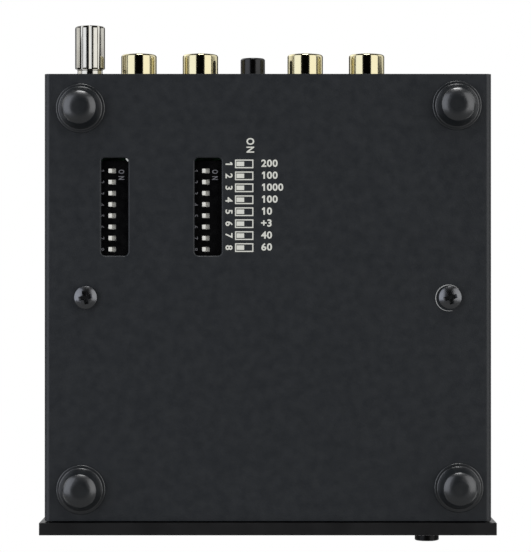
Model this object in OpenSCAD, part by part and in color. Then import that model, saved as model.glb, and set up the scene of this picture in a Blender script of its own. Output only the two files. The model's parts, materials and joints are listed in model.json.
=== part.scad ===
// Phono preamp in a folded sheet sleeve. A board slides into the sleeve between a
// front plate and a rear panel, and two switch banks are set through the base.
// Millimetres. +Z is up, -Y is the front, +X is the right side seen from the front.
// The origin is the middle of the whole footprint, at the surface the feet stand on.

/* [Sleeve] */
// Outside width of the folded sleeve
sleeve_w = 101; // [101:0.2:120]
// Outside height of the folded sleeve
sleeve_h = 33.6; // [33.6:0.2:44]
// Length of the sleeve, front to rear
sleeve_len = 101; // [101:0.5:130]
// Thickness of the sheet
sheet_t = 1; // [0.8:0.1:1.2]
// Outside radius of the four folds
bend_r = 1.3; // [1.3:0.1:3]

/* [Front plate] */
// How far the plate stands out past the sleeve on every side
front_reveal = 1.1; // [0.4:0.1:2.5]
// Thickness of the plate
front_t = 2.8; // [2.8:0.1:5]
// Shadow gap between the plate and the sleeve
front_gap = 0.3; // [0.1:0.1:0.6]
// Chamfer round the face of the plate
front_chamfer = 0.15; // [0.1:0.05:0.8]

/* [Feet] */
// Diameter of a domed foot
foot_d = 11.1; // [9:0.1:14]
// Height of a foot
foot_h = 5; // [4:0.5:8]
// Radius that rounds a foot's side over into the flat it stands on
foot_round = 3.3; // [2.5:0.1:3.6]
// Width of the rim round the foot's neck
foot_rim = 0.55; // [0.3:0.05:0.8]
// Distance of a foot's centre from the side of the sleeve
foot_side = 8; // [7.5:0.1:10]
// Distance of a foot's centre from the end of the sleeve
foot_end = 7.4; // [7:0.1:10]

/* [Switch banks] */
// Switches in a bank
switch_count = 8; // [4:1:8]
// Distance from one switch to the next
switch_pitch = 2.54; // [2.54:0.02:2.6]
// Travel of a slider from off to on
slider_travel = 0.8; // [0.6:0.1:0.8]
// Width of a window in the base
window_w = 6.1; // [5:0.1:7]
// Length of a window in the base
window_len = 22.1; // [21.5:0.1:23]
// Corner radius of a window
window_r = 0.9; // [0.5:0.1:1.5]
// Distance of the windows' centres from the rear end of the sleeve
window_from_rear = 30; // [28:0.5:32]

/* [Phono sockets] */
// Diameter of a socket shell
shell_d = 8.3; // [8.3:0.01:8.4]
// Distance between the two sockets of a pair
socket_pitch = 14.3; // [14:0.1:15]
// How far a shell stands out past the sleeve
shell_out = 6.1; // [5:0.1:8]
// Height of the socket axes above the board
socket_rise = 8.4; // [8:0.1:9]

/* [Power socket] */
// Diameter of the collar
collar_d = 5.7; // [5.5:0.1:6.5]
// Diameter of the plug hole
plug_d = 3.6; // [3.5:0.1:3.7]
// How far the collar stands out past the sleeve
collar_out = 5; // [3:0.5:7]

/* [Ground terminal] */
// Thread diameter of the stud and of every case screw
thread_d = 3; // [3:0.1:3]
// Diameter of the thumb nut
knob_d = 7; // [7:0.1:9]
// Length of the thumb nut
knob_len = 10.4; // [8:0.2:12]
// Flutes round the thumb nut
flute_count = 10; // [8:1:12]
// Depth of a flute
flute_depth = 0.5; // [0.3:0.02:0.6]

/* [Button] */
// Diameter of the button
button_d = 5.6; // [5:0.1:6]
// How far the button stands out of the front plate
button_out = 3.2; // [2.5:0.1:4]
// Travel of the button
button_travel = 2; // [1:0.1:2]

/* [Hidden] */
$fn = 64;

// Fits and cuts
fit = 0.05;
over = 0.5;

// Heights
base_z = foot_h;
floor_z = base_z + sheet_t;
mid_z = base_z + sleeve_h / 2;
inside_w = sleeve_w - 2 * sheet_t;
inside_h = sleeve_h - 2 * sheet_t;
standoff_h = 6;
board_t = 1.6;
board_z = floor_z + standoff_h;
deck_z = board_z + board_t;
socket_z = deck_z + socket_rise;

// Screws
screw_r = thread_d / 2;
hole_r = screw_r + fit;
head_r = 2.9;
head_h = 1.8;
head_dome = 1.15;
recess_l = 3.2;
recess_w = 0.8;
recess_deep = 1.1;
hex_across = 5.5;

// Rim of a foot
foot_rim_t = 0.5;
foot_rim_round = 0.2;

// Ground terminal, stacked outwards from the rear panel
lock_t = 0.5;
nut_t = 2.4;
nut_collar_t = 1.1;
nut_collar_r = 2.95;
washer_t = 0.3;
stud_past_nut = 8.9;
ground_stack = lock_t + nut_t + washer_t + knob_len;
knob_round = 0.7;
flute_r = 0.46;
lug_t = 0.5;

// Stations along the depth
panel_recess = 0.8;
panel_t = 1.2;
overall_d = button_out + front_t + front_gap + sleeve_len - panel_recess + ground_stack;
plate_y = button_out - overall_d / 2;
plate_back_y = plate_y + front_t;
sleeve_y = plate_back_y + front_gap;
sleeve_end_y = sleeve_y + sleeve_len;
panel_out_y = sleeve_end_y - panel_recess;
panel_in_y = panel_out_y - panel_t;
boss_out = 0.3;

// Front plate and its bracket
plate_w = sleeve_w + 2 * front_reveal;
plate_h = sleeve_h + 2 * front_reveal;
plate_z = mid_z - plate_h / 2;
bracket_t = 1;
bracket_bend = 0.6;
bracket_w = inside_w - 1;
bracket_top_z = base_z + sleeve_h - sheet_t - 0.3;
flange_len = 8;
bracket_y = plate_back_y + bracket_t;
bracket_screw_x = 20;
bracket_screw_z = mid_z + 8;
blind_depth = 2;

// Board
board_w = inside_w - 2.6;
board_front_y = bracket_y + bracket_bend;
board_end_y = panel_in_y - 0.75;
base_screw_x = sleeve_w / 2 - 9.4;
base_screw_y = sleeve_end_y - 50.5;
flange_screw_x = 22;
flange_screw_y = board_front_y + flange_len - 3.5;

// Switch banks: window centres and housing centres
outer_window_x = 34.6;
inner_window_x = 13.5;
window_y = sleeve_end_y - window_from_rear;
outer_bank_x = outer_window_x + 0.8;
inner_bank_x = inner_window_x + 0.7;
bank_y = window_y - 0.73;
bank_w = 9.9;
bank_len = 22.3;
bank_gap = 0.6;
bank_z = floor_z + bank_gap;
bank_face_t = 0.6;
bank_wall = 0.8;
slot_w = 1.85;
slot_len = 1.25;
nub_w = 0.95;
nub_len = 1.15;
nub_proud = 0.55;
nub_bevel = 0.15;
shoe_w = 2.7;
shoe_len = 1.45;
shoe_t = 0.8;
channel_w = 3.7;
channel_t = 0.9;
pin_row = 7.62;
pin_w = 0.5;
pin_t = 0.25;
pin_hole_r = 0.45;
pin_up = 1.2;

// Rear sockets, left to right across the panel
pair_centres = [-15.85, 22.85];
power_x = 3.5;
ground_x = 41.4;
block_w = 2 * socket_pitch - 0.3;
block_d = 12;
block_h = 17;
boss_r = 5;
shell_r = shell_d / 2;
shell_root_r = 3.85;
shell_bore_r = 3.4;
shell_root = 8;
shell_rim = 0.6;
insulator_recess = 0.6;
contact_r = 2.1;
contact_bore_r = 1.65;
contact_recess = 0.4;
panel_screw_z = deck_z + 14.4;
jack_w = 9;
jack_d = 13;
jack_h = 13.9;
plug_depth = 14;

// Button, its switch and the pilot lamp
button_x = -37;
button_r = button_d / 2;
button_hole_r = button_r + 0.2;
button_dome = 0.8;
button_flange_r = button_r + 0.9;
button_flange_t = 1;
plunger_w = 3;
plunger_in_cap = 4;
switch_w = 10;
switch_d = 16;
switch_h = 13.4;
switch_y = bracket_y + 4.5;
lamp_x = -29;
lamp_r = 1.5;
lamp_proud = 0.3;
lamp_len = 5.4;
lamp_flange_r = 1.9;
lamp_leg = 0.5;

// Radius of the sphere whose cap has this base radius and this height
function cap_sphere_r(base_r, height) = (base_r * base_r + height * height) / (2 * height);

// Position along the depth of one switch: number 1 is nearest the rear
function switch_y_at(i) = bank_y + ((switch_count + 1) / 2 - i) * switch_pitch;

// X of one socket: pair 0 is the output, pair 1 the input; side -1 or +1
function socket_x(pair, side) = pair_centres[pair] + side * socket_pitch / 2;

// Rectangle with true round corners
module round_rect(w, h, r) {
    square([w - 2 * r, h], center = true);
    square([w, h - 2 * r], center = true);
    for (sx = [-1, 1], sy = [-1, 1])
        translate([sx * (w / 2 - r), sy * (h / 2 - r)]) circle(r = r);
}

// Quarter-section of a round bar whose far end has a rounded edge
module round_end_section(r, len, edge) {
    square([r, len - edge]);
    square([r - edge, len]);
    translate([r - edge, len - edge]) circle(r = edge);
}

// Turns a shape made along +Z to point along +Y, and puts its foot at a point
module rearwards(x, y, z) {
    translate([x, y, z]) rotate([-90, 0, 0]) children();
}

// Domed cross-head screw: its seat is at the origin and its shank runs along +Z
module pan_screw(shank_len) {
    cylinder(r = screw_r, h = shank_len);
    mirror([0, 0, 1]) difference() {
        rotate_extrude() intersection() {
            square([head_r, head_h]);
            translate([0, head_h - cap_sphere_r(head_r, head_dome)])
                circle(r = cap_sphere_r(head_r, head_dome), $fn = 128);
        }
        for (turn = [0, 90]) rotate(turn) translate([0, 0, head_h])
            cube([recess_l, recess_w, 2 * recess_deep], center = true);
    }
}

// Hexagon bar with the corners broken at both ends
module hex_bar(across, h, break_r) {
    intersection() {
        cylinder(d = across / cos(30), h = h, $fn = 6);
        rotate_extrude() polygon([[0, 0], [break_r, 0], [break_r + h / 4, h / 8],
            [break_r + h / 4, h * 7 / 8], [break_r, h], [0, h]]);
    }
}

// Folded sleeve, open at both ends, with the two switch windows in its base
module sleeve() {
    color("#2a2b2e") difference() {
        translate([0, sleeve_end_y, mid_z]) rotate([90, 0, 0]) linear_extrude(sleeve_len)
            difference() {
                round_rect(sleeve_w, sleeve_h, bend_r);
                round_rect(inside_w, inside_h, bend_r - sheet_t);
            }
        for (x = [outer_window_x, inner_window_x])
            translate([x, window_y, base_z - over]) linear_extrude(sheet_t + 2 * over)
                round_rect(window_w, window_len, window_r);
        for (side = [-1, 1]) translate([side * base_screw_x, base_screw_y, base_z - over])
            cylinder(r = hole_r, h = sheet_t + 2 * over);
    }
}

// Thick front plate with its face chamfered all round
module front_plate() {
    c = front_chamfer;
    color("#1c1d1f") difference() {
        intersection() {
            translate([0, 0, plate_z]) linear_extrude(plate_h)
                polygon([[-plate_w / 2, plate_back_y], [plate_w / 2, plate_back_y],
                    [plate_w / 2, plate_y + c], [plate_w / 2 - c, plate_y],
                    [c - plate_w / 2, plate_y], [-plate_w / 2, plate_y + c]]);
            translate([-plate_w / 2, 0, 0]) rotate([90, 0, 90]) linear_extrude(plate_w)
                polygon([[plate_back_y, plate_z], [plate_back_y, plate_z + plate_h],
                    [plate_y + c, plate_z + plate_h], [plate_y, plate_z + plate_h - c],
                    [plate_y, plate_z + c], [plate_y + c, plate_z]]);
        }
        rearwards(button_x, plate_y - over, mid_z)
            cylinder(r = button_hole_r, h = front_t + 2 * over);
        rearwards(lamp_x, plate_y - over, mid_z)
            cylinder(r = lamp_r + fit, h = front_t + 2 * over);
        for (side = [-1, 1])
            rearwards(side * bracket_screw_x, plate_back_y - blind_depth, bracket_screw_z)
                cylinder(r = hole_r, h = blind_depth + over);
    }
}

// Side section of the bracket: an upright, a bend and a flange under the board
module bracket_section() {
    bend_y = bracket_y + bracket_bend;
    bend_z = board_z + bracket_bend;
    outer_r = bracket_bend + bracket_t;
    translate([plate_back_y, bend_z]) square([bracket_t, bracket_top_z - bend_z]);
    translate([bend_y, board_z - bracket_t]) square([flange_len, bracket_t]);
    translate([bend_y, bend_z]) intersection() {
        difference() {
            circle(r = outer_r);
            circle(r = bracket_bend);
        }
        translate([-outer_r, -outer_r]) square(outer_r);
    }
}

// Bent bracket that holds the front plate to the board
module front_bracket() {
    color("#8d9094") difference() {
        translate([-bracket_w / 2, 0, 0]) rotate([90, 0, 90])
            linear_extrude(bracket_w) bracket_section();
        rearwards(button_x, plate_back_y - over, mid_z)
            cylinder(r = button_hole_r, h = bracket_t + 2 * over);
        rearwards(lamp_x, plate_back_y - over, mid_z)
            cylinder(r = lamp_r + fit, h = bracket_t + 2 * over);
        for (side = [-1, 1]) {
            rearwards(side * bracket_screw_x, plate_back_y - over, bracket_screw_z)
                cylinder(r = hole_r, h = bracket_t + 2 * over);
            translate([side * flange_screw_x, flange_screw_y, board_z - bracket_t - over])
                cylinder(r = hole_r, h = bracket_t + 2 * over);
        }
    }
}

// Two screws through the bracket into the back of the plate
module front_plate_screws() {
    color("#6d7074") for (side = [-1, 1])
        translate([side * bracket_screw_x, bracket_y, bracket_screw_z]) rotate([90, 0, 0])
            pan_screw(bracket_t + blind_depth - 2 * fit);
}

// Flat rear panel that stands a little inside the sleeve
module rear_panel() {
    color("#202124") difference() {
        translate([0, panel_out_y, mid_z]) rotate([90, 0, 0]) linear_extrude(panel_t)
            round_rect(inside_w - 0.2, inside_h - 0.2, bend_r - sheet_t);
        for (pair = [0, 1]) {
            for (side = [-1, 1]) rearwards(socket_x(pair, side), panel_in_y - over, socket_z)
                cylinder(r = boss_r + fit, h = panel_t + 2 * over);
            rearwards(pair_centres[pair], panel_in_y - over, panel_screw_z)
                cylinder(r = hole_r, h = panel_t + 2 * over);
        }
        rearwards(power_x, panel_in_y - over, socket_z)
            cylinder(d = collar_d + 2 * fit, h = panel_t + 2 * over);
        rearwards(ground_x, panel_in_y - over, socket_z)
            cylinder(r = hole_r, h = panel_t + 2 * over);
    }
}

// One screw through the panel into each pair of sockets
module rear_panel_screws() {
    color("#1b1c1e") for (x = pair_centres)
        translate([x, panel_out_y, panel_screw_z]) rotate([90, 0, 0]) pan_screw(panel_t + 6);
}

// Circuit board, drilled for its screws and for the switch pins
module pcb() {
    color("#1f5a34") difference() {
        translate([-board_w / 2, board_front_y, board_z])
            cube([board_w, board_end_y - board_front_y, board_t]);
        for (side = [-1, 1]) {
            translate([side * base_screw_x, base_screw_y, board_z - over])
                cylinder(r = hole_r, h = board_t + 2 * over);
            translate([side * flange_screw_x, flange_screw_y, board_z - over])
                cylinder(r = hole_r, h = board_t + 2 * over);
        }
        each_pin() translate([0, 0, -over]) cylinder(r = pin_hole_r, h = board_t + 2 * over, $fn = 16);
    }
}

// Hexagon spacers that the base screws pull the board down on
module pcb_standoffs() {
    color("#b9a26a") for (side = [-1, 1])
        translate([side * base_screw_x, base_screw_y, floor_z]) difference() {
            hex_bar(hex_across, standoff_h, hex_across / 2);
            translate([0, 0, -over]) cylinder(r = hole_r, h = standoff_h + 2 * over);
        }
}

// Screws that hold the board to the spacers and to the bracket
module pcb_screws() {
    color("#b4b6b8") for (side = [-1, 1]) {
        translate([side * base_screw_x, base_screw_y, deck_z]) mirror([0, 0, 1])
            pan_screw(board_t + 0.45 * standoff_h);
        translate([side * flange_screw_x, flange_screw_y, deck_z]) mirror([0, 0, 1])
            pan_screw(board_t + bracket_t + 1);
    }
}

// The two screws in the base
module base_screws() {
    color("#17181a") for (side = [-1, 1])
        translate([side * base_screw_x, base_screw_y, base_z])
            pan_screw(sheet_t + 0.45 * standoff_h);
}

// Domed foot: a rim against the base, a short neck, then a wide round into its flat
module foot(side_x, end_y) {
    neck_r = foot_d / 2 - foot_rim;
    color("#151617") translate([side_x, end_y, base_z]) mirror([0, 0, 1]) rotate_extrude() {
        round_end_section(foot_d / 2, foot_rim_t, foot_rim_round);
        square([neck_r, foot_h - foot_round]);
        square([neck_r - foot_round, foot_h]);
        intersection() {
            square([neck_r, foot_h]);
            translate([neck_r - foot_round, foot_h - foot_round]) circle(r = foot_round, $fn = 128);
        }
    }
}

// One of the four feet
module foot_at(side, rear) {
    foot(side * (sleeve_w / 2 - foot_side), rear ? sleeve_end_y - foot_end : sleeve_y + foot_end);
}

// Moulded block behind the panel that carries one pair of phono sockets
module rca_housing(pair) {
    block_y = panel_in_y - block_d;
    color("#18191b") difference() {
        union() {
            translate([pair_centres[pair], 0, deck_z]) rotate([90, 0, 0])
                translate([0, block_h / 2, -panel_in_y]) linear_extrude(block_d)
                    round_rect(block_w, block_h, 0.8);
            for (side = [-1, 1]) rearwards(socket_x(pair, side), panel_in_y, socket_z)
                cylinder(r = boss_r, h = panel_t + boss_out);
        }
        for (side = [-1, 1])
            rearwards(socket_x(pair, side), panel_out_y + boss_out - shell_root, socket_z)
                cylinder(r = shell_root_r + fit, h = shell_root + over);
        rearwards(pair_centres[pair], panel_in_y - 7, panel_screw_z)
            cylinder(r = hole_r, h = 7 + over);
        for (side = [-1, 1])
            translate([socket_x(pair, side), block_y + 1, deck_z + 2]) cube([3, 3, 2.4], center = true);
    }
}

// Turned shell: a root held in the block and a wider sleeve that the plug grips
module rca_shell(pair, side) {
    out_len = sleeve_end_y + shell_out - panel_out_y - boss_out;
    color("#c9a04a") rearwards(socket_x(pair, side), panel_out_y + boss_out, socket_z)
        difference() {
            union() {
                rotate_extrude() round_end_section(shell_r, out_len, shell_rim);
                translate([0, 0, -shell_root]) cylinder(r = shell_root_r, h = shell_root + over);
            }
            translate([0, 0, -shell_root - over])
                cylinder(r = shell_bore_r, h = shell_root + out_len + 2 * over);
        }
}

// Coloured plastic core of a socket
module rca_insulator(pair, side) {
    out_len = sleeve_end_y + shell_out - panel_out_y - boss_out - insulator_recess;
    rearwards(socket_x(pair, side), panel_out_y + boss_out - shell_root, socket_z)
        difference() {
            cylinder(r = shell_bore_r - fit, h = shell_root + out_len);
            translate([0, 0, -over])
                cylinder(r = contact_r + fit, h = shell_root + out_len + 2 * over);
        }
}

module rca_white_insulators() {
    color("#e6e4dc") for (pair = [0, 1]) rca_insulator(pair, 1);
}

module rca_red_insulators() {
    color("#a3231f") for (pair = [0, 1]) rca_insulator(pair, -1);
}

// Centre contact tubes that take the plug's pin
module rca_contacts() {
    tube_len = shell_root + sleeve_end_y + shell_out - panel_out_y - boss_out
        - insulator_recess - contact_recess;
    color("#c9a04a") for (pair = [0, 1], side = [-1, 1])
        rearwards(socket_x(pair, side), panel_out_y + boss_out - shell_root, socket_z)
            difference() {
                cylinder(r = contact_r, h = tube_len);
                translate([0, 0, 1]) cylinder(r = contact_bore_r, h = tube_len);
            }
}

// Power socket: a box on the board with a round collar through the panel
module power_jack_housing() {
    tip_y = sleeve_end_y + collar_out;
    collar_len = tip_y - panel_in_y;
    color("#121314") difference() {
        union() {
            translate([power_x - jack_w / 2, panel_in_y - jack_d, deck_z])
                cube([jack_w, jack_d, jack_h]);
            rearwards(power_x, panel_in_y, socket_z) rotate_extrude()
                round_end_section(collar_d / 2, collar_len, 0.5);
        }
        rearwards(power_x, tip_y - plug_depth, socket_z)
            cylinder(d = plug_d, h = plug_depth + over);
        rearwards(power_x, tip_y - plug_depth - 1, socket_z) cylinder(r = 1.2, h = 1 + over);
    }
}

// Spring tip at the bottom of the plug hole
module power_jack_contact() {
    color("#c2c4c6") rearwards(power_x, sleeve_end_y + collar_out - plug_depth - 1, socket_z)
        cylinder(r = 1.2 - fit, h = 1);
}

// Threaded stud, with its head behind the panel
module ground_stud() {
    head_y = panel_in_y - lug_t;
    stud_len = lug_t + panel_t + lock_t + nut_t + washer_t + stud_past_nut;
    color("#b9babb") {
        rearwards(ground_x, head_y, socket_z) cylinder(r = screw_r, h = stud_len);
        rearwards(ground_x, head_y - 2, socket_z) hex_bar(hex_across, 2, hex_across / 2);
    }
}

// Solder lug under the head of the stud
module ground_lug() {
    color("#b9a26a") translate([ground_x, panel_in_y, socket_z]) rotate([90, 0, 0])
        linear_extrude(lug_t) difference() {
            union() {
                circle(r = 3.2);
                translate([-1.5, 0]) square([3, 7]);
            }
            circle(r = hole_r);
            translate([0, 5.4]) circle(r = 0.7);
        }
}

// Toothed washer between the panel and the fixing nut
module ground_lock_washer() {
    color("#a9abad") rearwards(ground_x, panel_out_y, socket_z) difference() {
        cylinder(r = 2.9, h = lock_t);
        translate([0, 0, -over]) cylinder(r = hole_r, h = lock_t + 2 * over);
        for (i = [0:7]) rotate(i * 45) translate([2.9, 0, lock_t / 2])
            cube([0.8, 0.5, lock_t + over], center = true);
    }
}

// Fixing nut of the ground terminal, with a turned collar that the washer seats on
module ground_hex_nut() {
    hex_t = nut_t - nut_collar_t;
    color("#d5d6d3") rearwards(ground_x, panel_out_y + lock_t, socket_z) rotate(20)
        difference() {
            union() {
                hex_bar(hex_across, hex_t, hex_across / 2);
                translate([0, 0, hex_t - 2 * fit])
                    cylinder(r = nut_collar_r, h = nut_collar_t + 2 * fit);
            }
            translate([0, 0, -over]) cylinder(r = hole_r, h = nut_t + 2 * over);
        }
}

// Loose washer that travels with the thumb nut
module ground_washer() {
    color("#d5d6d3") rearwards(ground_x, panel_out_y + lock_t + nut_t, socket_z) difference() {
        cylinder(r = 3, h = washer_t);
        translate([0, 0, -over]) cylinder(r = hole_r, h = washer_t + 2 * over);
    }
}

// Fluted thumb nut
module ground_thumb_nut() {
    r = knob_d / 2;
    color("#dcdcd6") rearwards(ground_x, panel_out_y + lock_t + nut_t + washer_t, socket_z)
        difference() {
            rotate_extrude() round_end_section(r, knob_len, knob_round);
            translate([0, 0, -over]) cylinder(r = hole_r, h = knob_len + 2 * over);
            for (i = [0:flute_count - 1]) rotate((i + 0.5) * 360 / flute_count)
                translate([r + flute_r - flute_depth, 0, -over])
                    cylinder(r = flute_r, h = knob_len + 2 * over, $fn = 24);
        }
}

// Button: a domed rod with a flange that stops it behind the bracket
module button_cap() {
    back_y = bracket_y + fit + button_flange_t;
    cap_len = back_y - plate_y + button_out;
    dome_r = cap_sphere_r(button_r, button_dome);
    color("#161718") difference() {
        translate([button_x, back_y, mid_z]) rotate([90, 0, 0]) rotate_extrude() {
            intersection() {
                square([button_r, cap_len]);
                translate([0, cap_len - dome_r]) circle(r = dome_r, $fn = 96);
            }
            square([button_flange_r, button_flange_t]);
        }
        translate([button_x, back_y - plunger_in_cap / 2 + over / 2, mid_z])
            cube([plunger_w + 2 * fit, plunger_in_cap + over, plunger_w + 2 * fit], center = true);
    }
}

// Body of the push switch, with the passage for its plunger
module push_switch_body() {
    color("#3a3c40") difference() {
        translate([button_x - switch_w / 2, switch_y, deck_z]) cube([switch_w, switch_d, switch_h]);
        translate([button_x, switch_y + (switch_d - 1.5) / 2 - over / 2, mid_z])
            cube([plunger_w + 2 * fit, switch_d - 1.5 + over, plunger_w + 2 * fit], center = true);
        for (side = [-1, 1]) translate([button_x + side * switch_w / 2, switch_y + switch_d / 2, deck_z + switch_h])
            cube([1.2, switch_d + over, 1.2], center = true);
    }
}

// Square plunger that joins the button to the switch
module push_switch_plunger() {
    cap_back_y = bracket_y + fit + button_flange_t;
    front_y = cap_back_y - plunger_in_cap;
    end_y = switch_y + switch_d - 1.5 - button_travel - over;
    color("#d8d6cf") translate([button_x, (front_y + end_y) / 2, mid_z])
        cube([plunger_w, end_y - front_y, plunger_w], center = true);
}

// Round pilot lamp with its two legs down to the board
module led() {
    tip_y = plate_y - lamp_proud;
    back_y = tip_y + lamp_len + 1;
    color("#dfe9f4") {
        translate([lamp_x, back_y, mid_z]) rotate([90, 0, 0]) rotate_extrude() {
            square([lamp_r, lamp_len + 1 - lamp_r]);
            intersection() {
                translate([0, lamp_len + 1 - lamp_r]) circle(r = lamp_r);
                square([lamp_r, lamp_len + 1]);
            }
            square([lamp_flange_r, 1]);
        }
        for (side = [-1, 1]) translate([lamp_x + side * 1.27 - lamp_leg / 2, 0, 0])
            rotate([90, 0, 90]) linear_extrude(lamp_leg)
                polygon([[back_y, mid_z + lamp_leg / 2], [back_y, mid_z - lamp_leg / 2],
                    [back_y + 2, mid_z - lamp_leg / 2], [back_y + 2, deck_z],
                    [back_y + 2 + lamp_leg, deck_z], [back_y + 2 + lamp_leg, mid_z + lamp_leg / 2]]);
    }
}

// Puts its children at the board end of every switch pin
module each_pin() {
    for (bank_x = [outer_bank_x, inner_bank_x], row = [-1, 1], i = [1:switch_count])
        translate([bank_x + row * pin_row / 2, switch_y_at(i), board_z]) children();
}

// Moulded switch housing: slots in the face, a channel behind each, open to the board
module dip_housing(bank_x) {
    deep = board_z - bank_z;
    color("#0e0f10") translate([bank_x, 0, bank_z]) difference() {
        translate([-bank_w / 2, bank_y - bank_len / 2, 0]) cube([bank_w, bank_len, deep]);
        for (i = [1:switch_count]) translate([0, switch_y_at(i), 0]) {
            translate([-slot_w / 2, -slot_len / 2, -over])
                cube([slot_w, slot_len, bank_face_t + 2 * over]);
            translate([-channel_w / 2, -shoe_len / 2 - fit, bank_face_t])
                cube([channel_w, shoe_len + 2 * fit, deep]);
        }
        translate([bank_wall - bank_w / 2, bank_y - bank_len / 2 + bank_wall, bank_face_t + channel_t])
            cube([bank_w - 2 * bank_wall, bank_len - 2 * bank_wall, deep]);
    }
}

// Contact bases that close the two housings
module dip_bases() {
    base_w = bank_w - 2 * bank_wall - 2 * fit;
    base_len = bank_len - 2 * bank_wall - 2 * fit;
    bottom_z = bank_z + bank_face_t + channel_t;
    color("#24262a") for (x = [outer_bank_x, inner_bank_x])
        translate([x - base_w / 2, bank_y - base_len / 2, bottom_z])
            cube([base_w, base_len, board_z - bottom_z]);
}

// Two rows of pins through the board under each bank
module dip_pins() {
    color("#c8c9ca") each_pin() translate([-pin_t / 2, -pin_w / 2, 0])
        cube([pin_t, pin_w, board_t + pin_up]);
}

// Slider: a shoe that runs in the channel and a nub that stands out of the slot
module dip_slider(bank_x, i) {
    shoe_z = bank_z + bank_face_t + fit;
    nub_z = bank_z - nub_proud;
    color("#d9d8d3") translate([bank_x + slider_travel / 2, switch_y_at(i), 0]) {
        translate([-shoe_w / 2, -shoe_len / 2, shoe_z]) cube([shoe_w, shoe_len, shoe_t]);
        translate([0, nub_len / 2, 0]) rotate([90, 0, 0]) linear_extrude(nub_len)
            polygon([[-nub_w / 2, shoe_z + fit], [-nub_w / 2, nub_z + nub_bevel],
                [nub_bevel - nub_w / 2, nub_z], [nub_w / 2 - nub_bevel, nub_z],
                [nub_w / 2, nub_z + nub_bevel], [nub_w / 2, shoe_z + fit]]);
    }
}

// Can with a crimp groove near its foot
module electrolytic(d, h) {
    groove_z = 1.8;
    groove_r = 0.5;
    rotate_extrude() difference() {
        round_end_section(d / 2, h, 0.5);
        translate([d / 2 + 0.2, groove_z]) circle(r = groove_r);
    }
}

module electrolytic_capacitors() {
    can_d = 8;
    can_h = 11.5;
    step = 10.5;
    color("#1d2a4a") {
        for (col = [0:2], row = [0:1]) translate([-38 + col * step, -24 + row * step, deck_z])
            electrolytic(can_d, can_h);
        for (i = [0:1]) translate([-41, 8 + i * 13, deck_z]) electrolytic(can_d + 2, can_h + 4);
    }
}

// Boxed film capacitors beside the amplifiers
module film_capacitors() {
    box = [7.2, 4.5, 9.5];
    color("#a8362c") for (col = [0:1], row = [0:2])
        translate([10 + col * 12, -36 + row * 8, deck_z]) linear_extrude(box[2])
            translate([0, box[1] / 2]) round_rect(box[0], box[1], 0.5);
}

// Eight-pin amplifiers with their legs in two rows
module op_amps() {
    body = [6.4, 9.4, 3.3];
    stand = 0.7;
    leg_pitch = 2.54;
    color("#1a1b1d") for (y = [-2, 10, 22]) translate([-16, y, deck_z]) {
        difference() {
            translate([-body[0] / 2, -body[1] / 2, stand]) cube(body);
            translate([0, body[1] / 2, stand + body[2] - 0.5]) cylinder(r = 0.8, h = 1, $fn = 24);
        }
        for (side = [-1, 1], i = [0:3])
            translate([side * (body[0] / 2 + 0.15) - 0.15, (i - 1.5) * leg_pitch - 0.3, 0])
                cube([0.3, 0.6, stand + body[2] / 2]);
    }
}

// Upright regulators with their metal tabs
module voltage_regulators() {
    color("#2b2c2f") for (x = [-30, -2]) translate([x, 26, deck_z]) difference() {
        union() {
            translate([-5, -2.2, 3]) cube([10, 4.4, 9]);
            translate([-5, 0.9, 3]) cube([10, 1.3, 15.5]);
            for (i = [-1:1]) translate([i * 2.54 - 0.35, 0, 0]) cube([0.7, 0.5, 3 + over]);
        }
        translate([0, 4, 15.5]) rotate([90, 0, 0]) cylinder(r = 1.8, h = 6);
    }
}

// Two rows of axial resistors: a body on a bent wire
module resistors() {
    reach = 5;
    wire = 0.3;
    lift = 1.3;
    color("#b08d57") for (row = [0:1], i = [0:7])
        translate([26 - row * 22, -12 + i * 3.2, deck_z]) {
            translate([-reach, 0, lift]) rotate([0, 90, 0]) cylinder(r = wire, h = 2 * reach, $fn = 16);
            translate([-3, 0, lift]) rotate([0, 90, 0]) cylinder(r = 1.1, h = 6, $fn = 24);
            for (side = [-1, 1]) translate([side * (reach - wire), 0, 0]) cylinder(r = wire, h = lift, $fn = 16);
        }
}

sleeve();
front_plate();
front_bracket();
front_plate_screws();
rear_panel();
rear_panel_screws();
pcb();
pcb_standoffs();
pcb_screws();
base_screws();
foot_at(-1, false);  // foot_front_left
foot_at(1, false);  // foot_front_right
foot_at(-1, true);  // foot_rear_left
foot_at(1, true);  // foot_rear_right
rca_housing(1);  // rca_input_housing
rca_housing(0);  // rca_output_housing
rca_shell(1, 1);  // rca_shell_input_left
rca_shell(1, -1);  // rca_shell_input_right
rca_shell(0, 1);  // rca_shell_output_left
rca_shell(0, -1);  // rca_shell_output_right
rca_white_insulators();
rca_red_insulators();
rca_contacts();
power_jack_housing();
power_jack_contact();
ground_stud();
ground_lug();
ground_lock_washer();
ground_hex_nut();
ground_washer();
ground_thumb_nut();
button_cap();
push_switch_body();
push_switch_plunger();
led();
dip_housing(outer_bank_x);  // dip_outer_housing
dip_housing(inner_bank_x);  // dip_inner_housing
dip_bases();
dip_pins();
electrolytic_capacitors();
film_capacitors();
op_amps();
voltage_regulators();
resistors();
for (i = [1:switch_count]) {
    dip_slider(outer_bank_x, i);
    dip_slider(inner_bank_x, i);
}
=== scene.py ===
import json
from math import asin, cos, pi, radians, sin, sqrt

import bmesh
import bpy
from mathutils import Matrix, Vector

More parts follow.
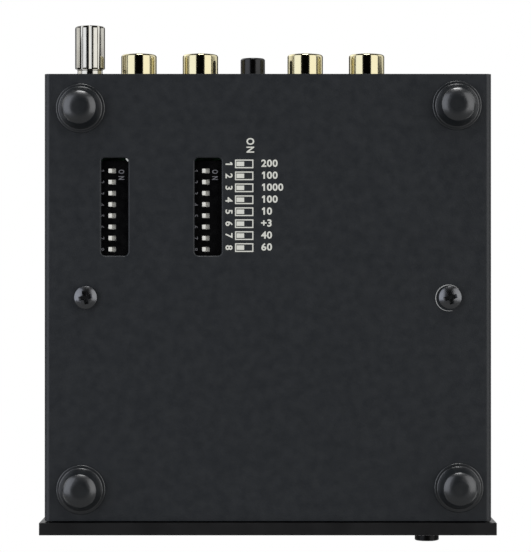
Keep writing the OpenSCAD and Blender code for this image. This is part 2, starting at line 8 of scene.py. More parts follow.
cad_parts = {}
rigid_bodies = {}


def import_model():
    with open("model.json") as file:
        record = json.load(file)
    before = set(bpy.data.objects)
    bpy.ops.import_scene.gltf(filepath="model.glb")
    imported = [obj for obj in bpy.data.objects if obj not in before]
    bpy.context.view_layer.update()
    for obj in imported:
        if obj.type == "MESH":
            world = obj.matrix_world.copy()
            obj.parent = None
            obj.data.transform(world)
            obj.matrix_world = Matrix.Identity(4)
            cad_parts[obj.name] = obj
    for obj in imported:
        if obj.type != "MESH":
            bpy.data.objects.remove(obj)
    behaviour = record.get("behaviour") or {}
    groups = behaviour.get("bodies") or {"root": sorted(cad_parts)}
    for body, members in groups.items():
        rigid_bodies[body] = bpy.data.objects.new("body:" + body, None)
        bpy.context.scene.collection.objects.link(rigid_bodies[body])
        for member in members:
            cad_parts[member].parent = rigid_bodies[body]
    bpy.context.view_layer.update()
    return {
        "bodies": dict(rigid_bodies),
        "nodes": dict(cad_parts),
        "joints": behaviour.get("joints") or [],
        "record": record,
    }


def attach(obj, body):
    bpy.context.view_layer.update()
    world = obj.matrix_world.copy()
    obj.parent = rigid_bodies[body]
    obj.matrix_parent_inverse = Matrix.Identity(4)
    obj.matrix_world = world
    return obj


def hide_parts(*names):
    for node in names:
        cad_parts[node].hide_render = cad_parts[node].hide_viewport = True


# Phono preamp lying on its feet and seen from below: lengths are millimetres until a mesh is placed
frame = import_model()
nodes = frame["nodes"]
scene = bpy.context.scene
print("frame loaded,", len(nodes), "nodes")

# what several pieces share: heights of the base, of the tube's middle and of the socket axes, and how far
# to the side the ground terminal stands
baseHeight = 5.0
tubeMiddle = 21.8
socketAxis = 22.0
groundX = 41.4


# ---- materials ----

def linear(hexText):
    # sRGB hex to the linear colour that the shaders take
    values = [int(hexText[i:i + 2], 16) / 255 for i in (1, 3, 5)]
    return [v / 12.92 if v <= 0.04045 else ((v + 0.055) / 1.055) ** 2.4 for v in values] + [1.0]


def addNode(tree, kind, inputs=None, **settings):
    # adds a node, sets its properties, and fills or links its inputs
    node = tree.nodes.new(kind)
    for key, value in settings.items():
        setattr(node, key, value)
    for key, value in (inputs or {}).items():
        if isinstance(value, bpy.types.NodeSocket):
            tree.links.new(value, node.inputs[key])
        else:
            node.inputs[key].default_value = value
    return node


def perMetre(size):
    # texture scale for a pattern whose grain is this many millimetres
    return 1000 / size


def blankMaterial(name):
    # a material with an empty node tree
    material = bpy.data.materials.new(name)
    material.use_nodes = True
    material.node_tree.nodes.clear()
    return material, material.node_tree


def nodeOf(tree, kind):
    return next(node for node in tree.nodes if node.type == kind)


def makeFinish(name, colour, worn, patch, rough, spread, grain, height, extra=()):
    # one shader with clouds of a second colour, uneven gloss and a fine grain in its bump
    sockets = dict(extra)
    stretch = sockets.pop("stretch", (1, 1, 1))
    material, tree = blankMaterial(name)
    place = addNode(tree, "ShaderNodeTexCoord").outputs["Object"]
    clouds = addNode(tree, "ShaderNodeTexNoise",
                     {"Vector": place, "Scale": perMetre(patch), "Detail": 3.0, "Roughness": 0.55})
    tint = addNode(tree, "ShaderNodeMix", {"Factor": clouds.outputs["Fac"], "A": linear(colour),
                                           "B": linear(worn)}, data_type="RGBA")
    gloss = addNode(tree, "ShaderNodeMapRange",
                    {"Value": clouds.outputs["Fac"], "From Min": 0.3, "From Max": 0.7,
                     "To Min": rough - spread, "To Max": rough + spread})
    drawn = addNode(tree, "ShaderNodeMapping", {"Vector": place, "Scale": stretch})
    speckle = addNode(tree, "ShaderNodeTexNoise", {"Vector": drawn.outputs[0], "Scale": perMetre(grain),
                                                   "Detail": 2.0, "Roughness": 0.6})
    bump = addNode(tree, "ShaderNodeBump",
                   {"Height": speckle.outputs["Fac"], "Strength": 1.0, "Distance": height * 0.001})
    shader = addNode(tree, "ShaderNodeBsdfPrincipled",
                     {"Base Color": tint.outputs["Result"], "Roughness": gloss.outputs["Result"],
                      "Normal": bump.outputs["Normal"], **sockets})
    addNode(tree, "ShaderNodeOutputMaterial", {"Surface": shader.outputs["BSDF"]})
    return material


metal = {"Metallic": 1.0}

# colour and its worn tone, patch in mm, roughness and its spread, grain in mm, grain height in mm, and
# the settings that only this finish needs; a stretch draws the grain out along one axis
finishes = {
    # polyester powder coat on steel, cured with a fine orange peel: satin blue-black, soft wide sheen
    "powderCoat": ("#1a1d21", "#25282b", 2.2, 0.42, 0.04, 0.5, 0.03),
    # aluminium plate, bead blasted and black anodised: darker and drier than the coat, a tight grain
    "blackAnodised": ("#0f0f10", "#141415", 7, 0.42, 0.05, 0.35, 0.015),
    # same powder coat on the rear panel, sprayed thinner: a little drier, with a finer peel
    "panelCoat": ("#181a1c", "#1c1e20", 8, 0.46, 0.04, 0.45, 0.02),
    # zinc-plated steel strip, rolled along its length: grey metal with drawn streaks
    "zincSheet": ("#a9adb1", "#8f9397", 4, 0.34, 0.08, 0.25, 0.006, {**metal, "stretch": (0.1, 1, 1)}),
    # pale, dry and rough paint for the slivers that paint glints on two edges
    "chippedEdge": ("#b9bab8", "#9fa09e", 0.6, 0.5, 0.05, 0.2, 0.004),
    # steel screw, phosphated and oiled black: dark metal with clean highlights on its edges
    "blackScrew": ("#7c7d7f", "#6c6d6f", 1.5, 0.26, 0.04, 0.3, 0.003, metal),
    # steel screw, bright zinc: pale cool metal
    "zincScrew": ("#c2c5c9", "#a6a9ad", 2, 0.26, 0.07, 0.3, 0.004, metal),
    # moulded polyurethane bumper: black, glossy skin, faint waviness
    "footRubber": ("#0c1216", "#0a0f13", 3, 0.34, 0.04, 1.6, 0.01,
                   {"IOR": 1.95, "Coat Weight": 0.3, "Coat Roughness": 0.06}),
    # moulded black ABS of the socket blocks: half-gloss
    "blackAbs": ("#151618", "#1a1b1d", 5, 0.38, 0.05, 0.4, 0.008),
    # turned brass with a thin gold flash: mirror-like, with traces of the turning tool
    "goldPlate": ("#dad2ad", "#d6cca5", 3, 0.09, 0.02, 0.12, 0.0006, {**metal, "stretch": (0.15, 1, 0.15)}),
    # white and red polypropylene of the socket cores: waxy
    "whiteCore": ("#e4e2da", "#dad8cf", 2, 0.36, 0.05, 0.5, 0.004,
                  {"Subsurface Weight": 0.15, "Subsurface Scale": 0.0006}),
    "redCore": ("#a3231f", "#8f1d1a", 2, 0.36, 0.05, 0.5, 0.004),
    # moulded black polyamide of the power socket: deep black with a narrow sheen
    "blackPolyamide": ("#020202", "#030303", 3, 0.22, 0.04, 0.4, 0.004),
    # nickel on turned brass: warm silver
    "nickelPlate": ("#cdcbc2", "#c4c1b7", 3, 0.12, 0.03, 0.15, 0.0008, {**metal, "stretch": (1, 0.15, 1)}),
    # plain brass of spacers and lug: yellow and slightly dull
    "plainBrass": ("#cdb476", "#b59a5e", 3, 0.28, 0.07, 0.2, 0.002, metal),
    # black anodised button, turned: deep black, hardly any sheen
    "buttonBlack": ("#030303", "#050505", 3, 0.3, 0.05, 0.3, 0.004, {"Specular IOR Level": 0.22}),
    # glass-filled nylon of the push switch: dark grey and dry
    "greyNylon": ("#3a3c40", "#44464a", 3, 0.5, 0.06, 0.3, 0.01),
    # natural acetal plunger: off-white, waxy
    "whiteAcetal": ("#d8d6cf", "#cfccc3", 2, 0.4, 0.05, 0.4, 0.004),
    # water-clear epoxy of the lamp
    "clearEpoxy": ("#eef4fa", "#e6eef6", 3, 0.1, 0.03, 1, 0.002, {"IOR": 1.52, "Transmission Weight": 0.75}),
    # black PBT of the switch housings: dark, fine spark-eroded texture
    "switchBlack": ("#020203", "#050506", 2, 0.25, 0.04, 0.2, 0.006),
    # white nylon of the sliders: slightly warm
    "sliderWhite": ("#dcdbd4", "#d2d1ca", 1, 0.42, 0.05, 0.2, 0.004),
    # tinned bronze pins and springs: soft bright grey
    "tinPlate": ("#cdced0", "#b6b7ba", 1, 0.24, 0.06, 0.2, 0.003, metal),
    # aluminium can in a printed PVC sleeve: dark blue, glossy
    "blueSleeve": ("#1b2950", "#223160", 5, 0.28, 0.04, 0.8, 0.006),
    # film capacitor dipped box: brick red, half-gloss
    "redBox": ("#a8362c", "#972e25", 3, 0.35, 0.05, 0.4, 0.006),
    # transfer-moulded epoxy of the chips: dull black
    "chipEpoxy": ("#1a1b1d", "#212225", 3, 0.55, 0.06, 0.25, 0.01),
    # lacquered resistor: tan, glossy
    "tanLacquer": ("#b08d57", "#a3814d", 2, 0.3, 0.05, 0.5, 0.004),
    # screen-printed epoxy ink: off-white, dry
    "printInk": ("#cfcfc6", "#c3c3ba", 0.8, 0.6, 0.05, 0.15, 0.003),
    # marks moulded into the switch housings and wiped with grey ink
    "markInk": ("#74747a", "#5e5e62", 0.4, 0.6, 0.05, 0.15, 0.003),
}
paint = {name: makeFinish(name, *row) for name, row in finishes.items()}

boardMask = {"finish": ("#1d5a35", "#174c2c", 6, 0.32, 0.05, 0.5, 0.01), "pace": 1.6, "copper": "#2a7446",
             "bare": "#1b5733", "gap": "#174c2c", "gapSize": 0.02}


def makeBoard(b):
    # glass-epoxy board under green solder mask, where the copper tracks show through as paler lines
    material = makeFinish("solderMask", *b["finish"])
    tree = material.node_tree
    cells = addNode(tree, "ShaderNodeTexBrick",
                    {"Vector": nodeOf(tree, "TEX_COORD").outputs["Object"], "Scale": perMetre(b["pace"]) / 4,
                     "Color1": linear(b["copper"]), "Color2": linear(b["bare"]), "Mortar": linear(b["gap"]),
                     "Mortar Size": b["gapSize"]})
    tree.links.new(cells.outputs["Color"], nodeOf(tree, "BSDF_PRINCIPLED").inputs["Base Color"])
    return material


# radii of the thumb nut in mm over which the painted shade on the flute walls sets in and fades out
fluteWallShade = {"setIn": (3.22, 3.26), "fadeOut": (3.46, 3.5), "colour": "#24221f"}


def makeFlutedNickel(f):
    # the same plating on the fluted nut, with a painted shade on the steep walls of the flutes for their
    # dark reflections
    material = makeFinish("flutedNickel", *finishes["nickelPlate"])
    tree = material.node_tree
    place = nodeOf(tree, "TEX_COORD").outputs["Object"]
    tint = nodeOf(tree, "MIX").outputs["Result"]
    spot = addNode(tree, "ShaderNodeVectorMath", {0: place, 1: (groundX * 0.001, 0, socketAxis * 0.001)},
                   operation="SUBTRACT")
    across = addNode(tree, "ShaderNodeVectorMath", {0: spot.outputs[0], 1: (1, 0, 1)}, operation="MULTIPLY")
    length = addNode(tree, "ShaderNodeVectorMath", {0: across.outputs[0]}, operation="LENGTH")
    parts = []
    for (low, high), levels in ((f["setIn"], (0.0, 1.0)), (f["fadeOut"], (1.0, 0.0))):
        part = addNode(tree, "ShaderNodeMapRange",
                       {"Value": length.outputs["Value"], "From Min": low * 0.001,
                        "From Max": high * 0.001, "To Min": levels[0], "To Max": levels[1]})
        parts.append(part.outputs[0])
    # painted shade: a dark band on the flute walls, between the two radii
    wallShade = addNode(tree, "ShaderNodeMath", dict(enumerate(parts)), operation="MULTIPLY").outputs[0]
    dark = addNode(tree, "ShaderNodeMix", {"Factor": wallShade, "A": tint, "B": linear(f["colour"])},
                   data_type="RGBA")
    tree.links.new(dark.outputs["Result"], nodeOf(tree, "BSDF_PRINCIPLED").inputs["Base Color"])
    return material


paint["solderMask"] = makeBoard(boardMask)
paint["flutedNickel"] = makeFlutedNickel(fluteWallShade)
print("materials:", len(paint))


# ---- mesh helpers ----

def makeObject(name, mesh):
    thing = bpy.data.objects.new(name, mesh)
    scene.collection.objects.link(thing)
    return thing


def meshFrom(name, points, faces):
    # merged, with its faces turned outwards
    mesh = bpy.data.meshes.new(name)
    mesh.from_pydata(points, [], faces)
    work = bmesh.new()
    work.from_mesh(mesh)
    bmesh.ops.remove_doubles(work, verts=work.verts, dist=1e-5)
    bmesh.ops.recalc_face_normals(work, faces=work.faces)
    work.to_mesh(mesh)
    work.free()
    return mesh


def skin(name, rings, loop=False):
    # a shell over rings of equal count: a loop of rings is a tube, otherwise its ends are capped
    count = len(rings[0])
    points = [p for ring in rings for p in ring]
    faces = []
    for row in range(len(rings) - (0 if loop else 1)):
        low, high = row * count, (row + 1) % len(rings) * count
        for i in range(count):
            j = (i + 1) % count
            faces.append((low + i, low + j, high + j, high + i))
    if not loop:
        faces += [tuple(range(count)), tuple(range(len(points) - count, len(points)))]
    return meshFrom(name, points, faces)


def outline(width, height, corner, steps=8):
    # points round a rectangle with round corners
    points = []
    for k, (sx, sy) in enumerate([(1, 1), (-1, 1), (-1, -1), (1, -1)]):
        for i in range(steps + 1):
            a = radians(90 * (k + i / steps))
            points.append((sx * (width / 2 - corner) + corner * cos(a),
                           sy * (height / 2 - corner) + corner * sin(a)))
    return points


def arc(x, y, radius, start, end, steps):
    # points on an arc in a section, degrees
    angles = [radians(start + (end - start) * i / steps) for i in range(steps + 1)]
    return [(x + radius * cos(a), y + radius * sin(a)) for a in angles]


def turned(name, section, steps=96, loop=False, angles=None):
    # section of (radius, height) turned round Z; it runs from axis to axis, or is a loop for a tube
    angles = angles or [2 * pi * i / steps for i in range(steps)]
    rings = [[(r * cos(a), r * sin(a), h) for a in angles] for r, h in section]
    return skin(name, rings, loop)


def block(name, low, high):
    # plain box for cutters and the blanks that booleans finish
    xs, ys, zs = zip(low, high)
    points = [(x, y, z) for x in xs for y in ys for z in zs]
    faces = [(0, 1, 3, 2), (4, 5, 7, 6), (0, 1, 5, 4), (2, 3, 7, 6), (0, 2, 6, 4), (1, 3, 7, 5)]
    return meshFrom(name, points, faces)


def moved(mesh, *steps):
    for step in steps:
        mesh.transform(step)
    return mesh


def rearwards(mesh, x, y, z):
    # a shape made along +Z is turned to point along +Y, with its foot at the point
    return moved(mesh, Matrix.Rotation(radians(-90), 4, "X"), Matrix.Translation((x, y, z)))


def joined(name, meshes):
    work = bmesh.new()
    for mesh in meshes:
        work.from_mesh(mesh)
    mesh = bpy.data.meshes.new(name)
    work.to_mesh(mesh)
    work.free()
    return mesh


def baked(thing):
    # the evaluated object as a plain mesh; the object and its modifiers go
    bpy.context.view_layer.update()
    graph = bpy.context.evaluated_depsgraph_get()
    mesh = bpy.data.meshes.new_from_object(thing.evaluated_get(graph), depsgraph=graph)
    thing.modifiers.clear()
    bpy.data.objects.remove(thing)
    return mesh


def cut(mesh, *cutters, operation="DIFFERENCE"):
    thing = makeObject(mesh.name, mesh)
    tools = [makeObject("cutter", cutter) for cutter in cutters]
    for tool in tools:
        step = thing.modifiers.new("cut", "BOOLEAN")
        step.object, step.operation, step.solver = tool, operation, "EXACT"
    result = baked(thing)
    for tool in tools:
        bpy.data.objects.remove(tool)
    return result


def softened(mesh, width, segments=3, angle=30):
    # rounds every sharp edge
    thing = makeObject(mesh.name, mesh)
    step = thing.modifiers.new("edges", "BEVEL")
    step.width, step.segments, step.angle_limit = width, segments, radians(angle)
    step.limit_method, step.use_clamp_overlap = "ANGLE", True
    return baked(thing)


def addPiece(name, mesh, finish, slot, body, *stands, sharp=32):
    # places a finished mesh in metres, shades it, and lets it ride on its body
    mesh.transform(Matrix.Scale(0.001, 4))
    mesh.materials.clear()
    mesh.materials.append(paint[finish])
    mesh.polygons.foreach_set("material_index", [0] * len(mesh.polygons))
    mesh.shade_smooth()
    mesh.set_sharp_from_angle(angle=radians(sharp))
    thing = makeObject(name, mesh)
    step = thing.modifiers.new("shading", "WEIGHTED_NORMAL")
    step.keep_sharp, step.weight = True, 60
    piece = makeObject(name, baked(thing))
    piece.name = piece.data.name = name
    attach(piece, body)
    if stands:
        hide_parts(*stands)


# ---- geometry node helpers ----

def startTree(name, sockets):
    # an empty tree with named inputs; returns it with its input and output nodes
    tree = bpy.data.node_groups.new(name, "GeometryNodeTree")
    tree.interface.new_socket("Geometry", in_out="INPUT", socket_type="NodeSocketGeometry")
    for label, (kind, value) in sockets.items():
        socket = tree.interface.new_socket(label, in_out="INPUT", socket_type="NodeSocket" + kind)
        if value is not None:
            socket.default_value = value
    tree.interface.new_socket("Geometry", in_out="OUTPUT", socket_type="NodeSocketGeometry")
    return tree, addNode(tree, "NodeGroupInput").outputs, addNode(tree, "NodeGroupOutput").inputs


def endTree(tree, geometry, finish, target):
    real = addNode(tree, "GeometryNodeRealizeInstances", {"Geometry": geometry})
    dressed = addNode(tree, "GeometryNodeSetMaterial", {"Geometry": real.outputs[0], "Material": finish})
    tree.links.new(dressed.outputs[0], target["Geometry"])
    return tree


def chained(tree, known, steps):
    # adds named math nodes to the known ones: each row is a result, its operation, and what it takes
    for name, operation, *values in steps:
        known[name] = addNode(tree, "ShaderNodeMath", {i: known.get(v, v) for i, v in enumerate(values)},
                              operation=operation).outputs[0]


def makeLatheTree(name, numbers, steps):
    # presses a turned shape in, point by point: the steps work out the limit that its radius keeps to
    tree, given, target = startTree(name, {**numbers, "Finish": ("Material", None)})
    axes = addNode(tree, "ShaderNodeSeparateXYZ",
                   {"Vector": addNode(tree, "GeometryNodeInputPosition").outputs[0]}).outputs
    known = {"x": axes[0], "y": axes[1], "z": axes[2], **{label: given[label] for label in numbers}}
    before = [("xx", "MULTIPLY", "x", "x"), ("rr", "MULTIPLY_ADD", "y", "y", "xx"),
              ("radius", "SQRT", "rr"), ("angle", "ARCTAN2", "y", "x")]
    after = [("kept", "MINIMUM", "radius", "limit"), ("safe", "MAXIMUM", "radius", 0.001),
             ("share", "DIVIDE", "kept", "safe"), ("newX", "MULTIPLY", "x", "share"),
             ("newY", "MULTIPLY", "y", "share")]
    chained(tree, known, before + steps + after)
    spot = addNode(tree, "ShaderNodeCombineXYZ", {"X": known["newX"], "Y": known["newY"], "Z": known["z"]})
    shaped = addNode(tree, "GeometryNodeSetPosition",
                     {"Geometry": given["Geometry"], "Position": spot.outputs[0]})
    return endTree(tree, shaped.outputs[0], given["Finish"], target)


def grown(name, tree, start, values):
    # runs a tree on a start mesh and returns the result as a plain mesh
    thing = makeObject(name, start)
    step = thing.modifiers.new(tree.name, "NODES")
    step.node_group = tree
    for item in tree.interface.items_tree:
        if item.in_out == "INPUT" and item.name in values:
            step[item.identifier] = values[item.name]
    return baked(thing)


def pointMesh(name, places, turns=None):
    mesh = bpy.data.meshes.new(name)
    mesh.from_pydata(places, [], [])
    twist = mesh.attributes.new("twist", "FLOAT", "POINT")
    twist.data.foreach_set("value", [radians(t) for t in turns or [0] * len(places)])
    return mesh


def makePlaceTree():
    # sets a copy of a piece at every point, tipped as a whole and twisted point by point
    tree, given, target = startTree("placeAtPoints", {
        "Piece": ("Object", None), "Tip": ("Vector", (0.0, 0.0, 0.0)), "Finish": ("Material", None)})
    source = addNode(tree, "GeometryNodeObjectInfo", {"Object": given["Piece"], "As Instance": True})
    twist = addNode(tree, "GeometryNodeInputNamedAttribute", {"Name": "twist"}, data_type="FLOAT")
    spin = addNode(tree, "ShaderNodeCombineXYZ", {"Z": twist.outputs["Attribute"]})
    spinTurn = addNode(tree, "FunctionNodeEulerToRotation", {"Euler": spin.outputs[0]})
    tipTurn = addNode(tree, "FunctionNodeEulerToRotation", {"Euler": given["Tip"]})
    turn = addNode(tree, "FunctionNodeRotateRotation",
                   {"Rotation": tipTurn.outputs[0], "Rotate By": spinTurn.outputs[0]},
                   rotation_space="LOCAL")
    copies = addNode(tree, "GeometryNodeInstanceOnPoints",
                     {"Points": given["Geometry"], "Instance": source.outputs["Geometry"],
                      "Rotation": turn.outputs[0]})
    return endTree(tree, copies.outputs[0], given["Finish"], target)


placeTree = makePlaceTree()


def placed(name, template, places, tip, finish, turns=None):
    # copies of a template mesh at several places, as one mesh
    pattern = makeObject(name + "Pattern", template)
    mesh = grown(name, placeTree, pointMesh(name, places, turns),
                 {"Piece": pattern, "Tip": tip, "Finish": paint[finish]})
    bpy.data.objects.remove(pattern)
    return mesh


noTip = (0.0, 0.0, 0.0)
rearTip = (radians(-90), 0.0, 0.0)  # a template made along +Z points to the rear
frontTip = (radians(90), 0.0, 0.0)
downTip = (radians(180), 0.0, 0.0)


# ---- sleeve and plates ----

def ringAt(p, inset, y, corner, steps=4):
    # outline of a tube or plate at one depth, drawn in by an inset
    return [(u, y, p["middle"] + v)
            for u, v in outline(p["width"] - 2 * inset, p["height"] - 2 * inset, corner, steps)]


def quarterRound(size):
    # how far a rounded edge is drawn in, and how far it runs, from its start to its end
    return [(size * (1 - sin(radians(t))), size * (1 - cos(radians(t)))) for t in (0, 30, 60, 90)]


def hole(radius, x, y, z, length, edge=0.0):
    # cutter for a hole along the depth; an edge at y can be broken by a small round
    section = [(0, 0), (radius, 0)]
    if edge:
        section = [(0, -0.5), (radius + edge, -0.5)]
        section += [(radius + inset, run) for inset, run in quarterRound(edge)]
    return rearwards(turned("hole", section + [(radius, length), (0, length)], 64), x, y, z)


sleeveSheet = {"width": 101.0, "height": 33.6, "sheet": 1.0, "fold": 1.3, "leastFold": 0.4,
               "middle": tubeMiddle, "front": -53.75, "rear": 47.25, "edge": 0.04,
               "windows": [(34.6, 17.25), (13.5, 17.25)], "window": (6.1, 22.1, 0.9), "lip": 0.38,
               "hole": 1.55, "screws": [(41.1, -3.25), (-41.1, -3.25)]}


def windowCutter(x, y, size, lip, base):
    # follows the window and flares at the outside, which leaves a rounded lip
    width, length, corner = size
    bend = [(lip * (1 - cos(radians(t))), lip * (1 - sin(radians(t)))) for t in range(0, 91, 15)]
    rings = []
    for depth, grow in [(-0.6, lip)] + bend + [(1.6, 0)]:
        ring = outline(width + 2 * grow, length + 2 * grow, corner + grow)
        rings.append([(x + u, y + v, base + depth) for u, v in ring])
    return skin("windowCutter", rings)


def makeSleeve(s):
    # one sheet folded into a tube; both cut ends are slightly rounded by the coat
    def ring(inset, y):
        return ringAt(s, inset, y, max(s["fold"] - inset, s["leastFold"]), 10)

    front, rear, t, bend = s["front"], s["rear"], s["sheet"], quarterRound(s["edge"])
    rings = [ring(inset, front + run) for inset, run in bend]
    rings += [ring(inset, rear - run) for inset, run in bend[::-1]]
    rings += [ring(t - inset, rear - run) for inset, run in bend]
    rings += [ring(t - inset, front + run) for inset, run in bend[::-1]]
    base = s["middle"] - s["height"] / 2
    cutters = [windowCutter(x, y, s["window"], s["lip"], base) for x, y in s["windows"]]
    for x, y in s["screws"]:
        section = [(0, -0.5), (s["hole"], -0.5), (s["hole"], 1.5), (0, 1.5)]
        cutters.append(moved(turned("hole", section, 48), Matrix.Translation((x, y, base))))
    return cut(skin("sleeve", rings, loop=True), *cutters)


addPiece("sleeveShell", makeSleeve(sleeveSheet), "powderCoat", "sleeve_coat", "case", "sleeve")

# centre, radius, width and height of each pale sliver that paints a glint, and the angles that it runs
# between
glintSlivers = {
    "cornerGlint": dict(at=(32.4, 27.4, 5.2), radius=0.78, thick=0.42, tall=0.45, turn=(115, 175)),
    "holeGlint": dict(at=(-40.84, -3.36, 5.02), radius=2.93, thick=0.2, tall=0.16, turn=(-105, 138)),
}


def makeGlint(name, g, steps=24, sides=8):
    # a thin pale sliver along a cut edge that paints a glint there: it swells out from its two tips
    x, y, z = g["at"]
    first, last = g["turn"]
    rings = []
    for k in range(steps + 1):
        a = radians(first + (last - first) * k / steps)
        swell = g["thick"] / 2 * sin(pi * (0.06 + 0.88 * k / steps)) ** 0.4
        ring = []
        for i in range(sides):
            b = 2 * pi * i / sides
            reach = g["radius"] + swell * cos(b)
            ring.append((x + reach * cos(a), y + reach * sin(a), z + g["tall"] / 2 * sin(b)))
        rings.append(ring)
    return skin(name, rings)


# painted highlights: pale slivers on the window corner and round one screw hole
for name, row in glintSlivers.items():
    addPiece(name, makeGlint(name, row), "chippedEdge", "sleeve_coat", "case")

frontPlate = {"width": 103.2, "height": 35.8, "middle": tubeMiddle, "face": -56.85, "back": -54.05,
              "chamfer": 0.07, "soft": 0.025, "corner": 0.2, "leastCorner": 0.05, "backEdge": 0.1,
              "openings": [(3.0, -37, 0.2), (1.55, -29, 0.12)],  # radius, place, edge
              "blind": (1.55, 29.8, 2), "blindAt": [20, -20]}


def makeFrontPlate(p):
    # thick plate: its face has a small chamfer with soft edges, its corners are just broken
    def ring(inset, y):
        return ringAt(p, inset, y, max(p["corner"] - inset, p["leastCorner"]))

    c, b, soft, face, back = p["chamfer"], p["backEdge"], p["soft"], p["face"], p["back"]
    rings = [ring(c + soft, face), ring(c - soft * 0.3, face + soft * 0.5),
             ring(soft * 0.5, face + c - soft * 0.3), ring(0, face + c + soft),
             ring(0, back - b), ring(b * 0.3, back - b * 0.3), ring(b, back)]
    cutters = [hole(radius, x, face, p["middle"], 4, edge) for radius, x, edge in p["openings"]]
    radius, z, deep = p["blind"]
    cutters += [hole(radius, x, back - deep, z, deep + 1) for x in p["blindAt"]]
    return cut(skin("frontPlate", rings), *cutters)


addPiece("frontPlateBlack", makeFrontPlate(frontPlate), "blackAnodised", "plate_black", "case",
         "front_plate")

socketPlaces = {"rca_shell_input_left": 30.0, "rca_shell_input_right": 15.7,
                "rca_shell_output_left": -8.7, "rca_shell_output_right": -23.0}
rearPanel = {"width": 98.8, "height": 31.4, "middle": tubeMiddle, "out": 46.45, "in": 45.25, "corner": 0.4,
             "edge": 0.12, "boss": 5.05, "screws": [22.85, -15.85], "screwHeight": 28.0, "screwHole": 1.55,
             "collar": 3.5, "collarHole": 2.9}


def makeRearPanel(p):
    corner, e, inner, outer = p["corner"], p["edge"], p["in"], p["out"]
    depths = [(e, inner), (e * 0.3, inner + e * 0.3), (0, inner + e), (0, outer - e),
              (e * 0.3, outer - e * 0.3), (e, outer)]
    holes = [(x, socketAxis, p["boss"]) for x in socketPlaces.values()]
    holes += [(x, p["screwHeight"], p["screwHole"]) for x in p["screws"]]
    holes += [(p["collar"], socketAxis, p["collarHole"]), (groundX, socketAxis, p["screwHole"])]
    panel = skin("rearPanel", [ringAt(p, inset, y, corner) for inset, y in depths])
    return cut(panel, *[hole(radius, x, inner - 0.5, z, 3) for x, z, radius in holes])


addPiece("rearPanelBlack", makeRearPanel(rearPanel), "panelCoat", "panel_coat", "case", "rear_panel")
print("sleeve, front plate and rear panel made")


# ---- feet and screws ----

foot = {"radius": 5.55, "edge": 0.06, "height": 5.0, "rimThick": 0.5, "rimRound": 0.24, "neck": 4.7,
        "root": 0.3, "flat": 1.3, "side": 3.85, "slope": 38, "crease": 0.32, "wall": 74,
        "places": [(42.32, 39.49), (-42.7, 40.12), (42.21, -46.62), (-43.1, -46.19)]}


def makeFoot(f):
    # moulded bumper: a thin rim on the base, a steep side, and a crown that rounds over into its flat
    r, e, neck, side, root = f["radius"], f["rimRound"], f["neck"], f["side"], f["root"]
    section = [(0, 0), (r - f["edge"], 0), (r, f["edge"])] + arc(r - e, f["rimThick"] - e, e, 0, 90, 5)
    section += arc(neck + root, f["rimThick"] + root, root, 270, 180, 4)
    first, reach = 90 - f["slope"], side - f["crease"]
    x = f["flat"] + reach * cos(radians(first))
    y = f["height"] - side + reach * sin(radians(first))
    section += arc(x, y, f["crease"], 90 - f["wall"], first, 6)
    section += arc(f["flat"], f["height"] - side, side, first, 90, 18)[1:] + [(0, f["height"])]
    return turned("foot", section, 96)


# the feet were stuck on by hand, so each sits a little off the corner of a true rectangle
footPlaces = [(x, y, baseHeight) for x, y in foot["places"]]
addPiece("fourFeet", placed("feet", makeFoot(foot), footPlaces, downTip, "footRubber"), "footRubber",
         "foot_rubber", "case", "foot_front_left", "foot_front_right", "foot_rear_left", "foot_rear_right",
         sharp=50)

# an arm of the cross is (depth under the top, half length, half width) at its floor and at its mouth
screwHead = {"head": 2.55, "rise": 1.8, "dome": 0.75, "edge": 0.1, "shank": 1.5, "pitch": 0.5,
             "crest": 0.1, "valley": 0.3, "thread": 0.2, "point": 0.3,
             "arms": [(1.1, 1.19, 0.312), (-0.4, 1.802, 0.572)]}


def makeScrew(s, length):
    # domed head along -Z with a tapered cross recess, shank along +Z with its thread left as rings
    r, rise, dome, edge, shank = s["head"], s["rise"], s["dome"], s["edge"], s["shank"]
    ball = (r * r + dome * dome) / (2 * dome)
    section = [(0, -rise)]
    for i in range(1, 21):
        x = r * sin(radians(90 * i / 20))
        section.append((x, -(rise - ball + sqrt(ball * ball - x * x))))
    section += [(r, -edge), (r - edge, 0), (shank, 0)]
    for i in range(int(length / s["pitch"])):
        start = i * s["pitch"]
        section += [(shank, s["crest"] + start), (shank - s["thread"], s["valley"] + start)]
    section += [(shank - s["point"], length), (0, length)]
    arms = []
    for turn in (0, 90):
        rings = [[(u * arm, v * blade, down - rise) for u, v in ((1, 1), (-1, 1), (-1, -1), (1, -1))]
                 for down, arm, blade in s["arms"]]
        arms.append(moved(skin("arm", rings), Matrix.Rotation(radians(turn), 4, "Z")))
    return cut(turned("screw", section, 72), *arms)


screwSets = {
    "baseScrews": dict(node="base_screws", finish="blackScrew", slot="screw_black", length=3.7, tip=noTip,
                       places=[(x, y, baseHeight) for x, y in sleeveSheet["screws"]], turns=[-12, -14]),
    "plateScrews": dict(node="front_plate_screws", finish="zincScrew", slot="screw_zinc", length=2.9,
                        tip=frontTip, places=[(20, -53.05, 29.8), (-20, -53.05, 29.8)], turns=[20, 65]),
    "panelScrews": dict(node="rear_panel_screws", finish="blackScrew", slot="screw_black", length=7.2,
                        tip=frontTip, places=[(-15.85, 46.45, 28.0), (22.85, 46.45, 28.0)], turns=[8, 40]),
}
for name, row in screwSets.items():
    mesh = placed(name, makeScrew(screwHead, row["length"]), row["places"], row["tip"], row["finish"],
                  row["turns"])
    addPiece(name, mesh, row["finish"], row["slot"], "case", row["node"])
print("feet and screws made")


# ---- phono sockets ----

